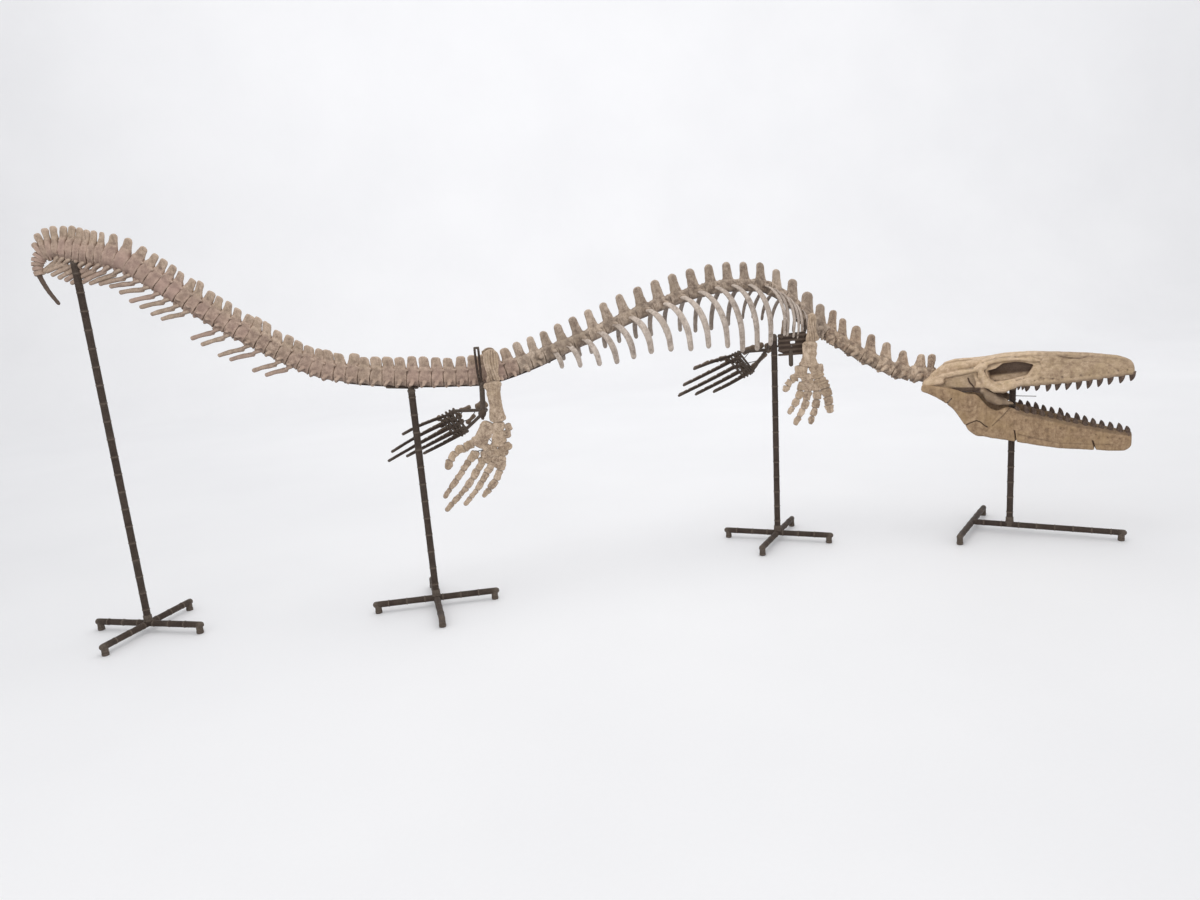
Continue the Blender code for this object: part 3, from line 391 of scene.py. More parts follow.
def placed(V, F, o, ex, ey, ez):
    """Local points carried into the shared frame, with the faces still pointing outward."""
    M = np.array([tuple(ex), tuple(ey), tuple(ez)], float)
    if np.linalg.det(M) < 0:
        F = [f[:, ::-1] for f in F] if isinstance(F, list) else F[:, ::-1]
    return np.asarray(V) @ M + np.array(tuple(o), float), F


# ------------------------------------------------------------- backbone curve
ROUTE = [
    (-2.425, -0.060, 1.545), (-2.465, -0.055, 1.616), (-2.491, -0.050, 1.698),
    (-2.476, -0.046, 1.759), (-2.412, -0.042, 1.785), (-2.303, -0.038, 1.765),
    (-2.135, -0.040, 1.715), (-1.990, -0.048, 1.600), (-1.735, -0.060, 1.395),
    (-1.420, -0.080, 1.190), (-1.250, -0.095, 1.135), (-1.000, -0.113, 1.098),
    (-0.740, -0.116, 1.078), (-0.560, -0.102, 1.082), (-0.215, -0.014, 1.174),
    (0.190, 0.118, 1.302), (0.558, 0.259, 1.379), (0.835, 0.351, 1.372),
    (0.947, 0.377, 1.330), (1.031, 0.387, 1.270), (1.187, 0.380, 1.125),
    (1.333, 0.355, 1.007), (1.455, 0.325, 0.930), (1.585, 0.289, 0.862),
    (1.690, 0.250, 0.838), (1.748, 0.208, 0.836),
]
SPACING = [(0.0, 0.024), (0.13, 0.024), (0.15, 0.019), (0.26, 0.020), (0.32, 0.029), (0.455, 0.030), (0.465, 0.053), (0.62, 0.053), (0.66, 0.047),
           (1.20, 0.049), (1.50, 0.054), (2.20, 0.0555), (2.50, 0.068), (2.68, 0.085), (2.90, 0.089),
           (3.05, 0.100), (3.35, 0.109), (3.60, 0.102), (4.00, 0.101), (4.04, 0.110), (4.15, 0.106),
           (4.256, 0.085), (4.341, 0.074), (4.415, 0.073), (4.488, 0.092), (4.58, 0.090), (4.67, 0.094), (4.764, 0.096),
           (4.86, 0.088), (4.95, 0.031)]
CENTRUM = [(0.0, 0.006), (0.12, 0.013), (0.15, 0.021), (0.20, 0.0285), (0.30, 0.034), (0.45, 0.038), (0.75, 0.037), (1.00, 0.035), (1.30, 0.034),
           (2.00, 0.034), (2.50, 0.033), (2.90, 0.0285), (4.20, 0.0275), (4.60, 0.032), (5.20, 0.036)]
SPINE_TOP = [(0.0, 0.006), (0.22, 0.022), (0.236, 0.030), (0.25, 0.060), (0.27, 0.086), (0.30, 0.104), (0.34, 0.113), (0.60, 0.113),
             (0.80, 0.108), (1.20, 0.099), (1.80, 0.098), (2.40, 0.112), (2.90, 0.130),
             (3.60, 0.132), (4.00, 0.128), (4.30, 0.128), (4.38, 0.142),
             (4.54, 0.146), (4.63, 0.143), (4.72, 0.135), (4.82, 0.125), (4.90, 0.121), (5.20, 0.116)]
SPINE_WIDE = [(0.00, 1.200), (0.16, 1.500), (0.20, 1.900), (0.27, 1.800), (0.33, 1.120), (0.46, 1.000), (0.47, 0.640),
              (0.64, 0.640), (0.70, 0.720), (1.20, 0.780), (1.50, 0.930), (1.72, 0.950), (1.90, 0.820), (2.30, 0.790),
              (2.60, 0.500), (3.00, 0.480), (4.10, 0.460), (4.20, 0.560), (4.32, 0.580), (4.50, 0.520), (4.70, 0.464), (4.80, 0.440),
              (4.92, 0.480), (4.95, 1.400), (5.20, 1.400)]
SPINE_FOOT = [(0.0, 0.96), (0.455, 0.96), (0.470, 0.92), (1.50, 0.98), (2.30, 0.98), (2.60, 0.72), (4.10, 0.62),
              (4.32, 0.84), (4.70, 0.76), (4.85, 0.90), (5.20, 0.90)]
SINK = [(0.0, 0.0), (0.14, 0.0), (0.26, 0.012), (0.36, 0.018), (0.62, 0.018), (0.90, 0.010), (1.30, 0.003), (1.55, 0.0)]
SPINE_LEAN = [(0.0, 0.0), (0.50, 0.0), (0.70, 0.10), (1.00, 0.26), (1.60, 0.20), (2.30, 0.06),
              (2.70, 0.02), (3.40, 0.04), (3.70, 0.10), (4.20, 0.06), (4.70, 0.0), (5.20, -0.20)]
SPINE_UPRIGHT = [(3.75, 0.0), (3.95, 0.80), (4.25, 0.80), (4.85, 0.85), (4.93, 0.60), (5.20, 0.40)]
CHEVRON_FROM, CHEVRON_TO = 0.30, 1.44
FIRST_BODY = 0.128
HIP_JOINT = 2.388
BODY_DARK = [(0.0, 0.14), (2.20, 0.16), (2.50, 0.40), (4.20, 0.46), (4.60, 0.42)]
CHEVRON_LONG = [(0.30, 0.085), (0.36, 0.105), (0.46, 0.132), (0.58, 0.140), (0.68, 0.118), (1.00, 0.114), (1.06, 0.118), (1.22, 0.134), (1.44, 0.112)]
CHEVRON_SWEEP = [(0.24, 30.0), (0.40, 34.0), (0.55, 38.0), (0.75, 47.0), (1.10, 49.0), (1.62, 36.0)]
RIB_FROM, RIB_TO = 2.60, 4.22
SHOULDER = (3.84, 4.12)
RIB_WIDE = [(2.60, 0.055), (2.90, 0.115), (3.30, 0.160), (3.60, 0.180), (3.90, 0.165), (4.14, 0.110), (4.32, 0.066), (4.78, 0.058)]
RIB_DROP = [(2.60, 0.048), (2.85, 0.106), (3.10, 0.128), (3.24, 0.165), (3.44, 0.190), (3.54, 0.225),
            (3.64, 0.240), (3.79, 0.215), (3.88, 0.180), (3.96, 0.160), (4.14, 0.126), (4.26, 0.080), (4.36, 0.044), (4.50, 0.034), (4.78, 0.030)]
RIB_TURN, RIB_TURN_FAR = radians(112.0), radians(88.0)
RIB_UPRIGHT = [(2.60, 0.30), (3.40, 0.35), (3.80, 0.70), (4.14, 0.85)]
TRANSVERSE = [(0.80, 0.0), (1.10, 0.020), (1.60, 0.036), (2.10, 0.042), (2.50, 0.046), (2.62, 0.030)]
LENGTHS = [("tail_tip", 0.34, ("tail_tip",)), ("tail_4", 0.86, ("tail_4",)), ("tail_3", 1.38, ("tail_3",)),
           ("tail_2", 1.90, ("tail_2",)), ("tail_1", 2.40, ("tail_1",)),
           ("trunk_rear", 3.36, ("trunk_rear_left", "trunk_rear_right")),
           ("trunk_front", 4.30, ("trunk_front_left", "trunk_front_right")), ("neck", 9.0, ("neck",))]


class Backbone:
    def __init__(self):
        self.p = [q + SHIFT for q in smooth(ROUTE, 24)]
        self.s = [0.0]
        for a, b in zip(self.p, self.p[1:]):
            self.s.append(self.s[-1] + (b - a).length)
        n = len(self.p)
        self.t = [(self.p[min(i + 1, n - 1)] - self.p[max(i - 1, 0)]).normalized() for i in range(n)]
        self.l = [None] * n
        prev = self.t[-1].cross(Vector((0, 0, 1))).normalized()
        for i in range(n - 1, -1, -1):
            c = self.t[i].cross(Vector((0, 0, 1)))
            w = min(1.0, c.length / 0.5)
            if c.length > 1e-6:
                c.normalize()
            if c.dot(prev) < 0:
                c = -c
                w = 0.0
            w *= float(ramp(self.s[i], 0.42, 0.62))
            q = c * w + prev * (1 - w) if w > 0 else prev.copy()
            q -= self.t[i] * q.dot(self.t[i])
            q.normalize()
            self.l[i] = q
            prev = q
        self.length = self.s[-1]

    def frame(self, s):
        s = max(0.0, min(self.length, s))
        lo, hi = 0, len(self.s) - 1
        while hi - lo > 1:
            mid = (lo + hi) // 2
            if self.s[mid] <= s:
                lo = mid
            else:
                hi = mid
        f = (s - self.s[lo]) / max(1e-9, self.s[hi] - self.s[lo])
        p = self.p[lo].lerp(self.p[hi], f)
        t = self.t[lo].lerp(self.t[hi], f).normalized()
        l = self.l[lo].lerp(self.l[hi], f)
        l = (l - t * l.dot(t)).normalized()
        n = l.cross(t).normalized()
        return p - n * at(SINK, s), t, l, n


spine = Backbone()
joints = [HIP_JOINT]
while joints[0] > 0.03:
    a = joints[0]
    for _ in range(12):
        a = joints[0] - at(SPACING, a)
    joints.insert(0, a)
joints[0] = 0.0
while joints[-1] + at(SPACING, joints[-1]) < spine.length - 0.03:
    joints.append(joints[-1] + at(SPACING, joints[-1]))
joints.append(spine.length)
rng = np.random.default_rng(41)
BONE_TINT = rng.normal(0.0, 0.5, 700).clip(-1, 1)


def vertebra(i):
    """One vertebra: spool-shaped body, arch, blade, joint processes and side processes."""
    a, b = joints[i], joints[i + 1]
    mid = (a + b) / 2
    p, t, l, n = spine.frame(mid)
    gap = 0.0017 if mid > 2.45 else 0.0010
    half = (b - a) / 2 - gap
    r, top = at(CENTRUM, mid), at(SPINE_TOP, mid) * (1.0 + (0.09 if 0.66 < mid < 2.3 else 0.045) * BONE_TINT[i])
    waist = 0.80 if mid > 2.4 else 0.84
    trunk, tail = mid > 2.45, mid < 2.45
    last = i == len(joints) - 2
    up = at(SPINE_UPRIGHT, mid)
    d = (n * (1 - up) + Vector((0, 0, up))).normalized()
    ex, ez = d.dot(t), d.dot(n)
    q = sqrt(ex * ex + ez * ez)
    ex, ez = ex / q, ez / q
    lean = at(SPINE_LEAN, mid) + 0.05 * BONE_TINT[i + 90] + (0.16 * BONE_TINT[i + 150] if 0.66 < mid < 1.7 else 0.0)
    uneven = 0.20 if 0.66 < mid < 2.3 else 0.07
    w0 = (b - a) * at(SPINE_WIDE, mid) / 2 * (1.0 + uneven * BONE_TINT[i + 180])
    w1 = (b - a) * at(SPINE_FOOT, mid) / 2
    round_ = 0.94 if trunk else (0.90 if mid < 0.66 else 0.55 + 0.30 * abs(BONE_TINT[i + 210]))
    th0 = min(0.0090, r * 0.36)
    th1 = min(0.0062, r * 0.30)
    reach = at(TRANSVERSE, mid) if mid < 2.62 else 0.0
    hang = 1.9 * (1.0 - float(ramp(np.array([mid]), 4.20, 4.55)[0])) if mid > 4.20 else 0.0

    def field(x, y, z):
        rad = np.sqrt(y * y + (z * 0.95) ** 2)
        u = np.abs(x) / half
        R = r * (waist + (1 - waist) * u ** 2.4) + 0.05 * r * np.exp(-((u - 0.92) / 0.07) ** 2)
        out = smax((rad - R) * 0.92, np.abs(x) - half, min(0.005, 0.2 * r))
        out = np.minimum(out, blob(x, y, z, (-half, 0, 0), (gap * 2.6, r * 0.84, r * 0.84)))
        # arch over the nerve canal
        ay = r * (0.66 - 0.24 * ramp(z, r * 0.6, r * 1.7))
        ax = half * (0.97 if trunk else 0.84 - 0.10 * ramp(z, r * 0.6, r * 1.7))
        arch = smax(smax(np.abs(y) - ay, np.abs(x) - ax, 0.25 * r), np.abs(z - r * (0.92 if trunk else 1.0)) - r * (0.46 if trunk else 0.72), 0.25 * r)
        if top > 1.2 * r:
            out = smin(out, arch, 0.3 * r)
        if top > 1.2 * r:
            # blade
            xb, zb = x * ez - z * ex, x * ex + z * ez
            f = np.clip((zb - r) / (top - r), 0.0, 1.0)
            w = w0 + (w1 - w0) * (1 - f) ** (1.7 if trunk else (0.80 if mid > 1.15 else 1.25))
            xc = -lean * (np.maximum(zb, r) - r)
            rc = w0 * round_
            qx, qz = np.abs(xb - xc) - (w - rc), zb - (top - rc)
            d2 = np.sqrt(np.maximum(qx, 0) ** 2 + np.maximum(qz, 0) ** 2) + np.minimum(np.maximum(qx, qz), 0) - rc
            th = th0 + (th1 - th0) * ramp(f, 0.0, 0.5) + 0.0012 * ramp(f, 0.72, 0.98) * (r / 0.03)
            th = th * (0.50 + 0.50 * np.sqrt(np.clip(-d2 / (0.42 * w0), 0.0, 1.0)))
            blade = smax(smax(d2, np.abs(y) - th, min(0.004, th1 * 0.8)), 0.55 * r - zb, 0.004)
            out = smin(out, blade, 0.22 * r)
        if mid > 0.60:
            g = 1.0 if trunk else 0.72
            yy = np.abs(y)
            up_ = 0.20 * r if trunk else 0.0
            out = smin(out, rod(x, yy, z, (0.30 * half, 0.40 * r, 1.20 * r - up_), (half + 0.10 * r * g, 0.50 * r, 1.26 * r - up_),
                                0.28 * r * g, 0.24 * r * g), 0.20 * r)
            out = smin(out, rod(x, yy, z, (-0.30 * half, 0.26 * r, 1.42 * r - 1.3 * up_), (-half - 0.02 * r * g, 0.26 * r, 1.44 * r - 1.3 * up_),
                                0.25 * r * g, 0.21 * r * g), 0.20 * r)
        if reach > 0.004:
            yy = np.abs(y)
            out = smin(out, rod(x, yy, z, (0.0, 0.55 * r, -0.05 * r), (-0.20 * half, r + reach, -0.06 * r - 0.42 * reach),
                                0.30 * r, 0.20 * r, (0.8, 1.0, 1.7)), 0.20 * r)
        if trunk and RIB_FROM - 0.05 < mid < 4.20:
            yy = np.abs(y)
            out = smin(out, rod(x, yy, z, (0.30 * half, 0.45 * r, 0.55 * r), (0.36 * half, 1.36 * r, 0.42 * r),
                                0.36 * r, 0.29 * r, (0.9, 1.0, 1.0)), 0.25 * r)
        if mid > 4.14:
            yy = np.abs(y)
            out = smin(out, rods(x, yy, z, [(0.2 * half, 0.5 * r, 0.2 * r), (0.05 * half, 1.16 * r, 0.05 * r),
                                            (-0.22 * half, 1.30 * r, -0.50 * r)], [0.38 * r, 0.40 * r, 0.34 * r], 0.15 * r), 0.28 * r)
            if hang > 0.15:
                # short ribs at the root of the neck, hanging straight down
                for q_, low in ((-0.62, 0.80), (-0.10, 1.0), (0.42, 0.92)):
                    out = smin(out, rod(x, yy, z, (q_ * half, 0.90 * r, -0.10 * r),
                                        (q_ * half - hang * low * r * t.z, 1.18 * r, -0.40 * r - hang * low * r * n.z),
                                        0.36 * r, 0.25 * r), 0.24 * r)
            out = smin(out, rod(x, y, z, (-0.35 * half, 0.0, -0.7 * r), (-0.45 * half, 0.0, -0.98 * r),
                                0.40 * r, 0.30 * r), 0.25 * r)
        if 0.26 < mid < 2.35:
            # foot for the haemal arch
            yy = np.abs(y)
            out = smin(out, blob(x, yy, z, (-0.62 * half, 0.34 * r, -0.95 * r), (0.28 * half, 0.20 * r, 0.22 * r)), 0.15 * r)
        if mid > 2.45:
            # nerve canal
            out = smax(out, -(np.sqrt(y * y + (z - 1.12 * r) ** 2) - 0.18 * r), 0.003)
        return out

    fx = half + 0.30 * r + max(0.0, abs(ex / ez) * top) * 0.9 + abs(lean) * top + 0.012
    fy = max(r * 1.30, (r + reach) * 1.05 + 0.004, 1.75 * r if trunk else 0.0)
    fz0, fz1 = -r * ((1.85 if mid > 4.14 else 1.35) + hang) - 0.006, max(top, 1.95 * r) * 1.02 + 0.010
    if reach:
        fz0 = min(fz0, -0.42 * reach - 0.4 * r - 0.006)
    h = float(np.clip(r * 0.150, 0.0018, 0.0046))
    k = min(1.0, r / 0.028)
    V, F = field_mesh(field, (-fx, -fy, fz0), (fx, fy, fz1), h,
                      ((0.020, 0.020, 0.020, 0.0011 * k), (0.008, 0.008, 0.012, 0.0007 * k), (0.0045, 0.0045, 0.020, 0.0004 * k)), i)
    patch = ramp(noise(V[:, 0] / 0.017, V[:, 1] / 0.017, V[:, 2] / 0.017, i + 9), -0.20, 0.40)
    body = (0.10 + 0.90 * patch) * (1 - ramp(V[:, 2], 1.05 * r, 2.00 * r))
    body = body * at(BODY_DARK, mid)
    tips = 0.20 * ramp(np.abs(V[:, 0] / (w0 + 1e-6)), 0.80, 1.0) * ramp(V[:, 2], 1.6 * r, 2.2 * r) if trunk else 0.0
    rosy = (1.0 - 0.40 * float(ramp(np.array([mid]), 1.0, 1.5)[0])) * (0.45 - 1.15 * (1 - ramp(V[:, 2], 0.8 * r, 2.5 * r))) if tail else 0.0
    return placed(V, F, p, t, l, n) + (np.maximum(body, tips), rosy)


def chevron(i):
    """Haemal arch: two short arms under the joint that meet in one slender rod."""
    a, b = joints[i], joints[i + 1]
    s = a + (b - a) * 0.10
    p, t, l, n = spine.frame(s)
    r = at(CENTRUM, s)
    sw = radians(at(CHEVRON_SWEEP, s) + 3.0 * BONE_TINT[i + 270])
    d = -t * cos(sw) - n * sin(sw)
    long_ = at(CHEVRON_LONG, s) * (1.0 + 0.04 * BONE_TINT[i + 200])
    side = l * (0.03 * BONE_TINT[i + 230])
    p = p + t * (b - a) * 0.40
    foot = p - n * (r * 0.80)
    meet = p - n * (r + 0.004) + d * (long_ * 0.26)
    end = p - n * (r + 0.004) + (d + side) * long_
    out = []
    for hand in (1, -1):
        line = smooth([foot + l * hand * r * 0.42, foot + d * long_ * 0.15 + l * hand * r * 0.30 - n * 0.003, meet + l * hand * 0.0020], 6)
        out.append(sweep(line, np.linspace(0.0082, 0.0072, len(line)), 12, 1.05, tuple(l)))
    line = smooth([meet - d * 0.008, meet.lerp(end, 0.5) + n * 0.003, end], 10)
    f = np.linspace(0, 1, len(line))
    R = 0.0090 - 0.0014 * f + 0.0005 * np.sin(f * 9.0 + i)
    V, F = sweep(line, R, 14, 1.24, tuple(l))
    V = V + 0.0007 * np.stack([noise(V[:, 0] / 0.014, V[:, 1] / 0.014, V[:, 2] / 0.014, i + c) for c in (3, 4, 5)], 1)
    out.append((V, F))
    return out


def rib(i, hand, move=0.0):
    """Curved rib from the side of a vertebra; hand +1 is the right side."""
    a, b = joints[i], joints[i + 1]
    mid = (a + b) / 2 + move * (b - a)
    p, t, l, n = spine.frame(mid)
    r = at(CENTRUM, mid)
    wide, drop = at(RIB_WIDE, mid), at(RIB_DROP, mid)
    up = at(RIB_UPRIGHT, mid)
    down = (n * (1 - up) + Vector((0, 0, up))).normalized()
    steps = 30
    pts = []
    q = 0.012 * BONE_TINT[i + (300 if hand > 0 else 340)]
    for k in range(steps + 1):
        f = k / steps
        a_ = 0.16 + ((RIB_TURN if hand > 0 else RIB_TURN_FAR) - 0.16) * f
        out = r * 0.45 + (wide - r * 0.45) * sin(a_) if a_ < pi / 2 else wide * (1 - 0.10 * (a_ - pi / 2))
        pts.append(p + t * (0.010 + (0.16 if hand > 0 else -0.05) * drop * sin(f * pi / 2)) + l * hand * out + n * r * 0.35 - down * (drop * (1 - cos(a_))) + t * q * f)
    f = np.linspace(0, 1, steps + 1)
    R = (0.0148 if hand > 0 else 0.0118) * (1.0 - 0.44 * ramp(mid, 3.76, 3.92)) + 0.0034 * ramp(f, 0.05, 0.40) - 0.0022 * ramp(f, 0.60, 1.0)
    R = R * (min(1.0, 0.50 + wide * 3.6) if mid < 4.2 else 0.80)
    V, F = sweep(pts, R, 18, 0.50, tuple(t), (True, True))
    V = V + 0.0007 * np.stack([noise(V[:, 0] / 0.016, V[:, 1] / 0.016, V[:, 2] / 0.016, c) for c in (3, 4, 5)], 1)
    return V, F


# ------------------------------------------------------------------ materials
def node(nt, kind, **values):
    nd = nt.nodes.new(kind)
    for k, v in values.items():
        setattr(nd, k, v)
    return nd


def fresh(name):
    m = bpy.data.materials.new(name)
    m.use_nodes = True
    nt = m.node_tree
    nt.nodes.clear()
    out = node(nt, 'ShaderNodeOutputMaterial')
    b = node(nt, 'ShaderNodeBsdfPrincipled')
    nt.links.new(b.outputs[0], out.inputs[0])
    return m, nt, b


def maths(nt, op, a, b=None, c=None, clamp=False):
    nd = node(nt, 'ShaderNodeMath', operation=op, use_clamp=clamp)
    for i, q in enumerate((a, b, c)):
        if q is None:
            continue
        if isinstance(q, (int, float)):
            nd.inputs[i].default_value = q
        else:
            nt.links.new(q, nd.inputs[i])
    return nd.outputs[0]


def spots(nt, co, scale, detail=4.0, rough=0.55, stretch=None):
    if stretch:
        mp = node(nt, 'ShaderNodeMapping')
        mp.inputs['Scale'].default_value = stretch
        nt.links.new(co, mp.inputs['Vector'])
        co = mp.outputs[0]
    nd = node(nt, 'ShaderNodeTexNoise')
    nd.inputs['Scale'].default_value = scale
    nd.inputs['Detail'].default_value = detail
    nd.inputs['Roughness'].default_value = rough
    nt.links.new(co, nd.inputs['Vector'])
    return nd.outputs[0]


def ramped(nt, fac, stops):
    nd = node(nt, 'ShaderNodeValToRGB')
    el = nd.color_ramp.elements
    while len(el) < len(stops):
        el.new(0.5)
    for e, (p, c) in zip(el, stops):
        e.position = p
        e.color = (*c, 1.0)
    nt.links.new(fac, nd.inputs[0])
    return nd.outputs[0]


def mixed(nt, fac, a, b, mode='MIX'):
    nd = node(nt, 'ShaderNodeMix', data_type='RGBA', blend_type=mode)
    for q, s in ((fac, nd.inputs[0]), (a, nd.inputs[6]), (b, nd.inputs[7])):
        if isinstance(q, (int, float)):
            s.default_value = q
        elif isinstance(q, tuple):
            s.default_value = (*q, 1.0)
        else:
            nt.links.new(q, s)
    return nd.outputs[2]


def valued(nt, name):
    nd = node(nt, 'ShaderNodeAttribute', attribute_name=name)
    return nd.outputs['Fac']


def bump(nt, b, layers):
    """Stacked bumps: (height, strength, depth)."""
    last = None
    for hgt, strength, depth in layers:
        nd = node(nt, 'ShaderNodeBump')
        nd.inputs['Strength'].default_value = strength
        nd.inputs['Distance'].default_value = depth
        nt.links.new(hgt, nd.inputs['Height'])
        if last:
            nt.links.new(last, nd.inputs['Normal'])
        last = nd.outputs[0]
    nt.links.new(last, b.inputs['Normal'])


def bone(name, light, mid, dark, stain, deep, grain_=(1.6, 1.6, 0.40), wide=0.13, coarse=0.55, rose=None):
    """Mineralised bone: mottled tan, darker in hollows with grime and painted shade, paler on edges, fine pores and
    grain.
    """
    m, nt, b = fresh(name)
    co = node(nt, 'ShaderNodeTexCoord').outputs['Object']
    big = spots(nt, co, 11.0, 5.0, 0.60)
    mott = spots(nt, co, 42.0, 6.0, 0.66)
    fine = spots(nt, co, 190.0, 5.0, 0.62)
    grain = spots(nt, co, 620.0, 3.0, 0.60)
    streak = spots(nt, co, 60.0, 4.0, 0.60, grain_)
    tint, shade, hollow = valued(nt, "tint"), valued(nt, "shade"), valued(nt, "hollow")
    f = maths(nt, 'ADD', maths(nt, 'MULTIPLY', mott, coarse), maths(nt, 'MULTIPLY', fine, 1.0 - coarse))
    f = maths(nt, 'ADD', f, maths(nt, 'MULTIPLY', tint, 0.045))
    col = ramped(nt, f, ((0.50 - wide, dark), (0.50, mid), (0.50 + wide, light)))
    col = mixed(nt, maths(nt, 'MULTIPLY', ramped(nt, big, ((0.46, (0, 0, 0)), (0.66, (1, 1, 1)))), 0.50), col, stain, 'MIX')
    col = mixed(nt, maths(nt, 'MULTIPLY', ramped(nt, streak, ((0.50, (0, 0, 0)), (0.68, (1, 1, 1)))), 0.46), col, dark, 'MIX')
    value = node(nt, 'ShaderNodeHueSaturation')
    nt.links.new(maths(nt, 'ADD', maths(nt, 'MULTIPLY', tint, 0.09), 1.0), value.inputs['Value'])
    nt.links.new(col, value.inputs['Color'])
    col = value.outputs[0]
    if rose:
        blush = maths(nt, 'MULTIPLY', maths(nt, 'ADD', maths(nt, 'MULTIPLY', tint, -0.55), 0.05), maths(nt, 'ADD', big, 0.45), clamp=True)
        col = mixed(nt, blush, col, rose)
    edge = maths(nt, 'MULTIPLY', maths(nt, 'MULTIPLY', hollow, -1.0), 1.3, clamp=True)
    col = mixed(nt, maths(nt, 'MULTIPLY', edge, 0.45), col, light)
    # darker in hollows: partly grime, partly painted shade
    hollow_grime_and_shade = maths(nt, 'MULTIPLY', hollow, 1.9, clamp=True)
    hollow_grime_and_shade = maths(nt, 'MULTIPLY', hollow_grime_and_shade, maths(nt, 'ADD', mott, 0.35), clamp=True)
    col = mixed(nt, maths(nt, 'MULTIPLY', hollow_grime_and_shade, 0.85), col, deep)
    sh = maths(nt, 'MULTIPLY', shade, maths(nt, 'ADD', maths(nt, 'MULTIPLY', fine, 0.5), 0.75), clamp=True)
    col = mixed(nt, sh, col, deep)
    nt.links.new(col, b.inputs['Base Color'])
    rg = maths(nt, 'ADD', maths(nt, 'MULTIPLY', mott, 0.30), 0.48)
    nt.links.new(rg, b.inputs['Roughness'])
    b.inputs['Specular IOR Level'].default_value = 0.32
    pores = node(nt, 'ShaderNodeTexVoronoi')
    pores.inputs['Scale'].default_value = 170.0
    nt.links.new(co, pores.inputs['Vector'])
    bump(nt, b, ((mott, 0.55, 0.0016), (streak, 0.35, 0.0010), (pores.outputs[0], 0.18, 0.0008), (fine, 0.50, 0.0007), (grain, 0.40, 0.0003)))
    return m


TRUNK_BONE = bone("bone_trunk", (0.61, 0.495, 0.395), (0.43, 0.333, 0.258), (0.185, 0.130, 0.095), (0.37, 0.285, 0.205), (0.058, 0.037, 0.026))
TAIL_BONE = bone("bone_tail", (0.58, 0.450, 0.350), (0.41, 0.302, 0.228), (0.165, 0.112, 0.084), (0.355, 0.272, 0.188), (0.058, 0.036, 0.026), rose=(0.50, 0.335, 0.285))
RIB_BONE = bone("bone_rib", (0.66, 0.575, 0.505), (0.45, 0.372, 0.315), (0.180, 0.135, 0.108), (0.37, 0.295, 0.235), (0.062, 0.042, 0.032))
HEAD_BONE = bone("bone_head", (0.665, 0.506, 0.356), (0.500, 0.362, 0.239), (0.300, 0.202, 0.128), (0.48, 0.352, 0.195), (0.058, 0.033, 0.025), (0.5, 0.5, 1.9), 0.15, 0.72)
JAW_BONE = bone("bone_jaw", (0.475, 0.334, 0.208), (0.337, 0.223, 0.131), (0.188, 0.116, 0.066), (0.36, 0.240, 0.120), (0.046, 0.026, 0.018), (1.5, 1.5, 0.22), 0.15, 0.78)
LIMB_BONE = bone("bone_limb", (0.635, 0.498, 0.376), (0.450, 0.336, 0.241), (0.215, 0.148, 0.104), (0.43, 0.310, 0.195), (0.058, 0.037, 0.026), wide=0.10)
NECK_BONE = bone("bone_neck", (0.66, 0.520, 0.390), (0.47, 0.348, 0.252), (0.170, 0.112, 0.080), (0.44, 0.300, 0.210), (0.052, 0.032, 0.023), wide=0.11)


def tooth_material():
    m, nt, b = fresh("tooth_enamel")
    co = node(nt, 'ShaderNodeTexCoord').outputs['Object']
    mott = spots(nt, co, 90.0, 5.0, 0.6)
    line = spots(nt, co, 220.0, 3.0, 0.6, (1.0, 1.0, 0.18))
    shade = valued(nt, "shade")
    col = ramped(nt, maths(nt, 'ADD', maths(nt, 'MULTIPLY', mott, 0.6), maths(nt, 'MULTIPLY', line, 0.4)),
                 ((0.32, (0.048, 0.030, 0.022)), (0.52, (0.100, 0.067, 0.050)), (0.72, (0.21, 0.150, 0.112))))
    col = mixed(nt, maths(nt, 'MULTIPLY', shade, 0.55, clamp=True), col, (0.20, 0.135, 0.098))
    nt.links.new(col, b.inputs['Base Color'])
    b.inputs['Specular IOR Level'].default_value = 0.22
    nt.links.new(maths(nt, 'ADD', maths(nt, 'MULTIPLY', mott, 0.30), 0.34), b.inputs['Roughness'])
    bump(nt, b, ((line, 0.45, 0.0006), (mott, 0.30, 0.0004)))
    return m


def steel_material(name, base, light, metal=0.35):
    m, nt, b = fresh(name)
    co = node(nt, 'ShaderNodeTexCoord').outputs['Object']
    mott = spots(nt, co, 26.0, 5.0, 0.62)
    fine = spots(nt, co, 210.0, 4.0, 0.60)
    shade, hollow = valued(nt, "shade"), valued(nt, "hollow")
    dark = tuple(q * 0.55 for q in base)
    col = ramped(nt, maths(nt, 'ADD', maths(nt, 'MULTIPLY', mott, 0.6), maths(nt, 'MULTIPLY', fine, 0.4)),
                 ((0.34, dark), (0.52, base), (0.72, light)))
    worn = maths(nt, 'MULTIPLY', maths(nt, 'MULTIPLY', hollow, -2.2, clamp=True), fine)
    col = mixed(nt, worn, col, (0.20, 0.165, 0.135))
    col = mixed(nt, maths(nt, 'MULTIPLY', shade, 0.60, clamp=True), col, (0.160, 0.118, 0.092))
    nt.links.new(col, b.inputs['Base Color'])
    b.inputs['Metallic'].default_value = metal
    b.inputs['Specular IOR Level'].default_value = 0.10 if metal < 0.5 else 0.5
    nt.links.new(maths(nt, 'ADD', maths(nt, 'MULTIPLY', fine, 0.34), 0.34), b.inputs['Roughness'])
    bump(nt, b, ((mott, 0.30, 0.0010), (fine, 0.45, 0.0005)))
    return m


TOOTH = tooth_material()
STEEL = steel_material("steel_painted", (0.031, 0.0185, 0.0145), (0.060, 0.039, 0.031), 0.0)
WIRE = steel_material("steel_wire", (0.30, 0.29, 0.28), (0.45, 0.44, 0.43), 0.8)

